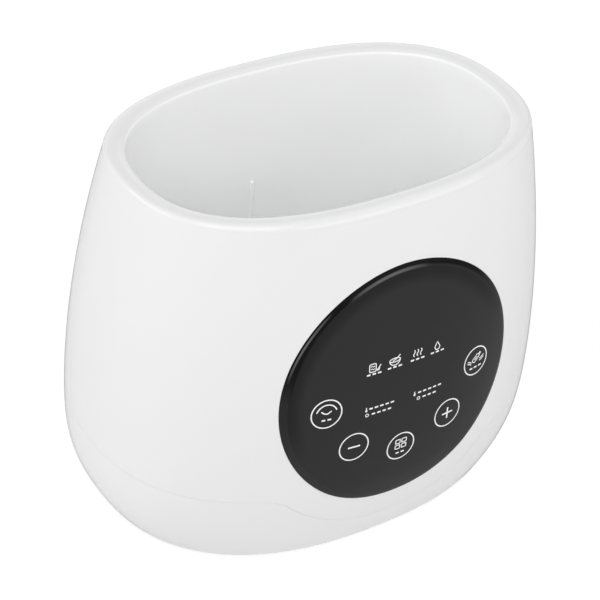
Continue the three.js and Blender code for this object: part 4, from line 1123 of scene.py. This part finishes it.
def make_base_screws():
    for i in range(1, 5):
        node = "base_screw_%d" % i
        low, high = (Vector(v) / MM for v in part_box(node))
        x, y = (low.x + high.x) / 2, (low.y + high.y) / 2
        profile = [(radius, low.z + rise) for radius, rise in SCREW_HEAD]
        profile += [(radius, high.z + rise) for radius, rise in SCREW_TIP]
        screw = lathe("screw_" + str(i), profile, (x, y, 0), sides=40)
        long, wide, deep = RECESS
        for half in ((long / 2, wide / 2), (wide / 2, long / 2)):
            outline = [(x + dx, y + dy) for dx, dy in corners(half)]
            cut(screw, prism("recess", outline, low.z - 1, low.z + deep))
        sharpen(screw)
        add_piece(screw, STEEL, "steel", node)


def make_inlet():
    seat = INLET_SEAT_Y + FIT
    width, height, thick, bend = INLET_FLANGE
    face = seat + thick
    inlet = prism("inlet_shell", rounded(width, height, bend, (0, INLET_Z)), seat, face, "Y")
    width, height, depth, bend = INLET_BODY
    shank = rounded(width, height, bend, (0, INLET_Z))
    join(inlet, prism("shank", shank, seat - depth, seat + PAD_BOND, "Y"))
    floor_y, outside = face - SOCKET_DEPTH, face - CUT_START
    for side in (-1, 1):
        profile = [(0, floor_y), (SOCKET_R, floor_y), (SOCKET_R, outside), (0, outside)]
        cut(inlet, lathe("socket", profile, (side * PIN_X, 0, INLET_Z), "Y", 48))
    half_x, half_z = PIN_X, SOCKET_WAIST / 2
    waist = [(half_x, half_z), (-half_x, half_z), (-half_x, -half_z), (half_x, -half_z)]
    cut(inlet, prism("waist", [(x, INLET_Z + z) for x, z in waist], floor_y, outside, "Y"))
    hole_r, hole_start, hole_end = PIN_R + FIT, seat - depth + CUT_START, floor_y + OVERLAP
    for side in (-1, 1):
        profile = [(0, hole_start), (hole_r, hole_start), (hole_r, hole_end), (0, hole_end)]
        cut(inlet, lathe("pin_hole", profile, (side * PIN_X, 0, INLET_Z), "Y", 32))
    sharpen(inlet)
    add_piece(inlet, BLACK, "black_plastic", "power_inlet")
    low, high, share = PIN_CHAMFER
    for i, side in enumerate((-1, 1), 1):
        end = floor_y + PIN_REACH
        start = seat - depth - PIN_TAIL
        profile = [(0, start), (PIN_R, start), (PIN_R, end - low)]
        profile += [(PIN_R * share, end - high), (0, end)]
        pin = lathe("pin_%d" % i, profile, (side * PIN_X, 0, INLET_Z), "Y", 32)
        add_piece(pin, BRASS, "brass", "inlet_pin_%d" % i)


# Carried-over solids inside the body


def dress_nodes():
    """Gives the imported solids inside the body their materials, with their meshes as they are."""
    table = {
        "control_board": BOARD, "power_board": BOARD, "lens_gasket": FOAM, "tank_gasket": SILICONE,
        "plate_clamp": STEEL, "heating_element": STEEL, "thermostat": BLACK, "thermal_fuse": CREAM,
        "temperature_sensor": BRASS, "sensor_lead": LEADS["white"], "ribbon_cable": LEADS["white"],
        "light_guide": SATIN, "display_left": SMOKED, "display_right": SMOKED, "buzzer": BLACK,
        "control_socket": CREAM, "transformer": BLACK, "relay": BLUE, "capacitor": PLATE,
        "mains_fuse": CREAM, "mains_terminal": CREAM, "heater_terminal": CREAM,
        "sensor_socket": CREAM, "power_socket": CREAM,
    }
    for name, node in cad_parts.items():
        made = table.get(name)
        if made is None and "screw" in name:
            made = STEEL
        if made is None and name.startswith("touch_contact"):
            made = FOAM
        if made is None and "_lead_" in name:
            made = LEADS["brown" if name.endswith("1") else "blue"]
        if made is not None:
            dress(node, made)


# Stage, light and camera


def choose_by_ray(tree, unseen, seen, out):
    """Shows one shader to camera, glossy and transmission rays, and the other to all the rest."""
    path = tree.nodes.new("ShaderNodeLightPath")
    first = tree.nodes.new("ShaderNodeMath")
    first.operation = "MAXIMUM"
    either = tree.nodes.new("ShaderNodeMath")
    either.operation = "MAXIMUM"
    tree.links.new(path.outputs["Is Camera Ray"], first.inputs[0])
    tree.links.new(path.outputs["Is Glossy Ray"], first.inputs[1])
    tree.links.new(first.outputs[0], either.inputs[0])
    tree.links.new(path.outputs["Is Transmission Ray"], either.inputs[1])
    choose = tree.nodes.new("ShaderNodeMixShader")
    tree.links.new(either.outputs[0], choose.inputs["Fac"])
    tree.links.new(unseen.outputs[0], choose.inputs[1])
    tree.links.new(seen.outputs[0], choose.inputs[2])
    tree.links.new(choose.outputs[0], out.inputs["Surface"])


def add_floor():
    points = [(x, y, 0) for x, y in corners((-FLOOR_REACH, -FLOOR_REACH))]
    floor = new_object("floor", points, [(0, 1, 2, 3)])
    made = bpy.data.materials.new("floor")
    made.use_nodes = True
    tree = made.node_tree
    tree.nodes.clear()
    out = tree.nodes.new("ShaderNodeOutputMaterial")
    plain = tree.nodes.new("ShaderNodeBsdfDiffuse")
    plain.inputs["Color"].default_value = (*grey(FLOOR_PLAIN), 1)
    shade = tree.nodes.new("ShaderNodeBsdfDiffuse")
    shade.inputs["Color"].default_value = (*grey(FLOOR_SHADE), 1)
    glow = tree.nodes.new("ShaderNodeEmission")
    glow.inputs["Strength"].default_value = FLOOR_GLOW
    both = tree.nodes.new("ShaderNodeAddShader")
    tree.links.new(shade.outputs[0], both.inputs[0])
    tree.links.new(glow.outputs[0], both.inputs[1])
    choose_by_ray(tree, plain, both, out)
    floor.data.materials.append(made)


def set_world(level):
    world = bpy.data.worlds.new("studio")
    bpy.context.scene.world = world
    world.use_nodes = True
    tree = world.node_tree
    tree.nodes.clear()
    out = tree.nodes.new("ShaderNodeOutputWorld")
    room = tree.nodes.new("ShaderNodeBackground")
    room.inputs["Color"].default_value = (1, 1, 1, 1)
    room.inputs["Strength"].default_value = level
    white = tree.nodes.new("ShaderNodeBackground")
    white.inputs["Color"].default_value = (1, 1, 1, 1)
    choose_by_ray(tree, room, white, out)


def add_lamp(name, azimuth, elevation, size, power):
    a, e = math.radians(azimuth), math.radians(elevation)
    back = Vector((math.sin(a) * math.cos(e), -math.cos(a) * math.cos(e), math.sin(e)))
    data = bpy.data.lights.new(name, "AREA")
    data.shape = "RECTANGLE"
    data.size, data.size_y = size
    data.energy = power
    lamp = bpy.data.objects.new(name, data)
    lamp.location = Vector((0, 0, LAMP_AIM_Z)) + back * LAMP_DISTANCE
    lamp.rotation_mode = "QUATERNION"
    lamp.rotation_quaternion = (-back).to_track_quat("-Z", "Y")
    bpy.context.scene.collection.objects.link(lamp)


def add_camera():
    right = Vector((math.cos(AZIMUTH), -math.sin(AZIMUTH), 0))
    ahead = Vector((math.sin(AZIMUTH), math.cos(AZIMUTH), 0))
    up = ahead * math.sin(ELEVATION) + Vector((0, 0, math.cos(ELEVATION)))
    back = Vector((0, 0, math.sin(ELEVATION))) - ahead * math.cos(ELEVATION)
    place = Vector((0, 0, AIM[1])) + right * AIM[0] + up * AIM[2] + back * DISTANCE
    c, s = math.cos(ROLL), math.sin(ROLL)
    columns = (right * c + up * s, up * c - right * s, back)
    turn = Matrix([[column[i] for column in columns] for i in range(3)]).to_4x4()
    data = bpy.data.cameras.new("camera")
    data.lens, data.sensor_width = LENS, SENSOR
    camera = bpy.data.objects.new("camera", data)
    camera.matrix_world = Matrix.Translation(place * MM) @ turn
    bpy.context.scene.collection.objects.link(camera)
    bpy.context.scene.camera = camera


add_camera()
make_housing()
make_cover()
make_tank()
make_plate()
make_lens()
print_keys()
print_row()
print_readings()
make_feet()
make_base_screws()
make_inlet()
dress_nodes()
add_floor()
set_world(ROOM_LIGHT)
for lamp in LAMPS:
    add_lamp(*lamp)
bpy.context.scene.cycles.diffuse_bounces = DIFFUSE_BOUNCES
bpy.context.scene.view_settings.view_transform = "Standard"

bpy.context.view_layer.update()
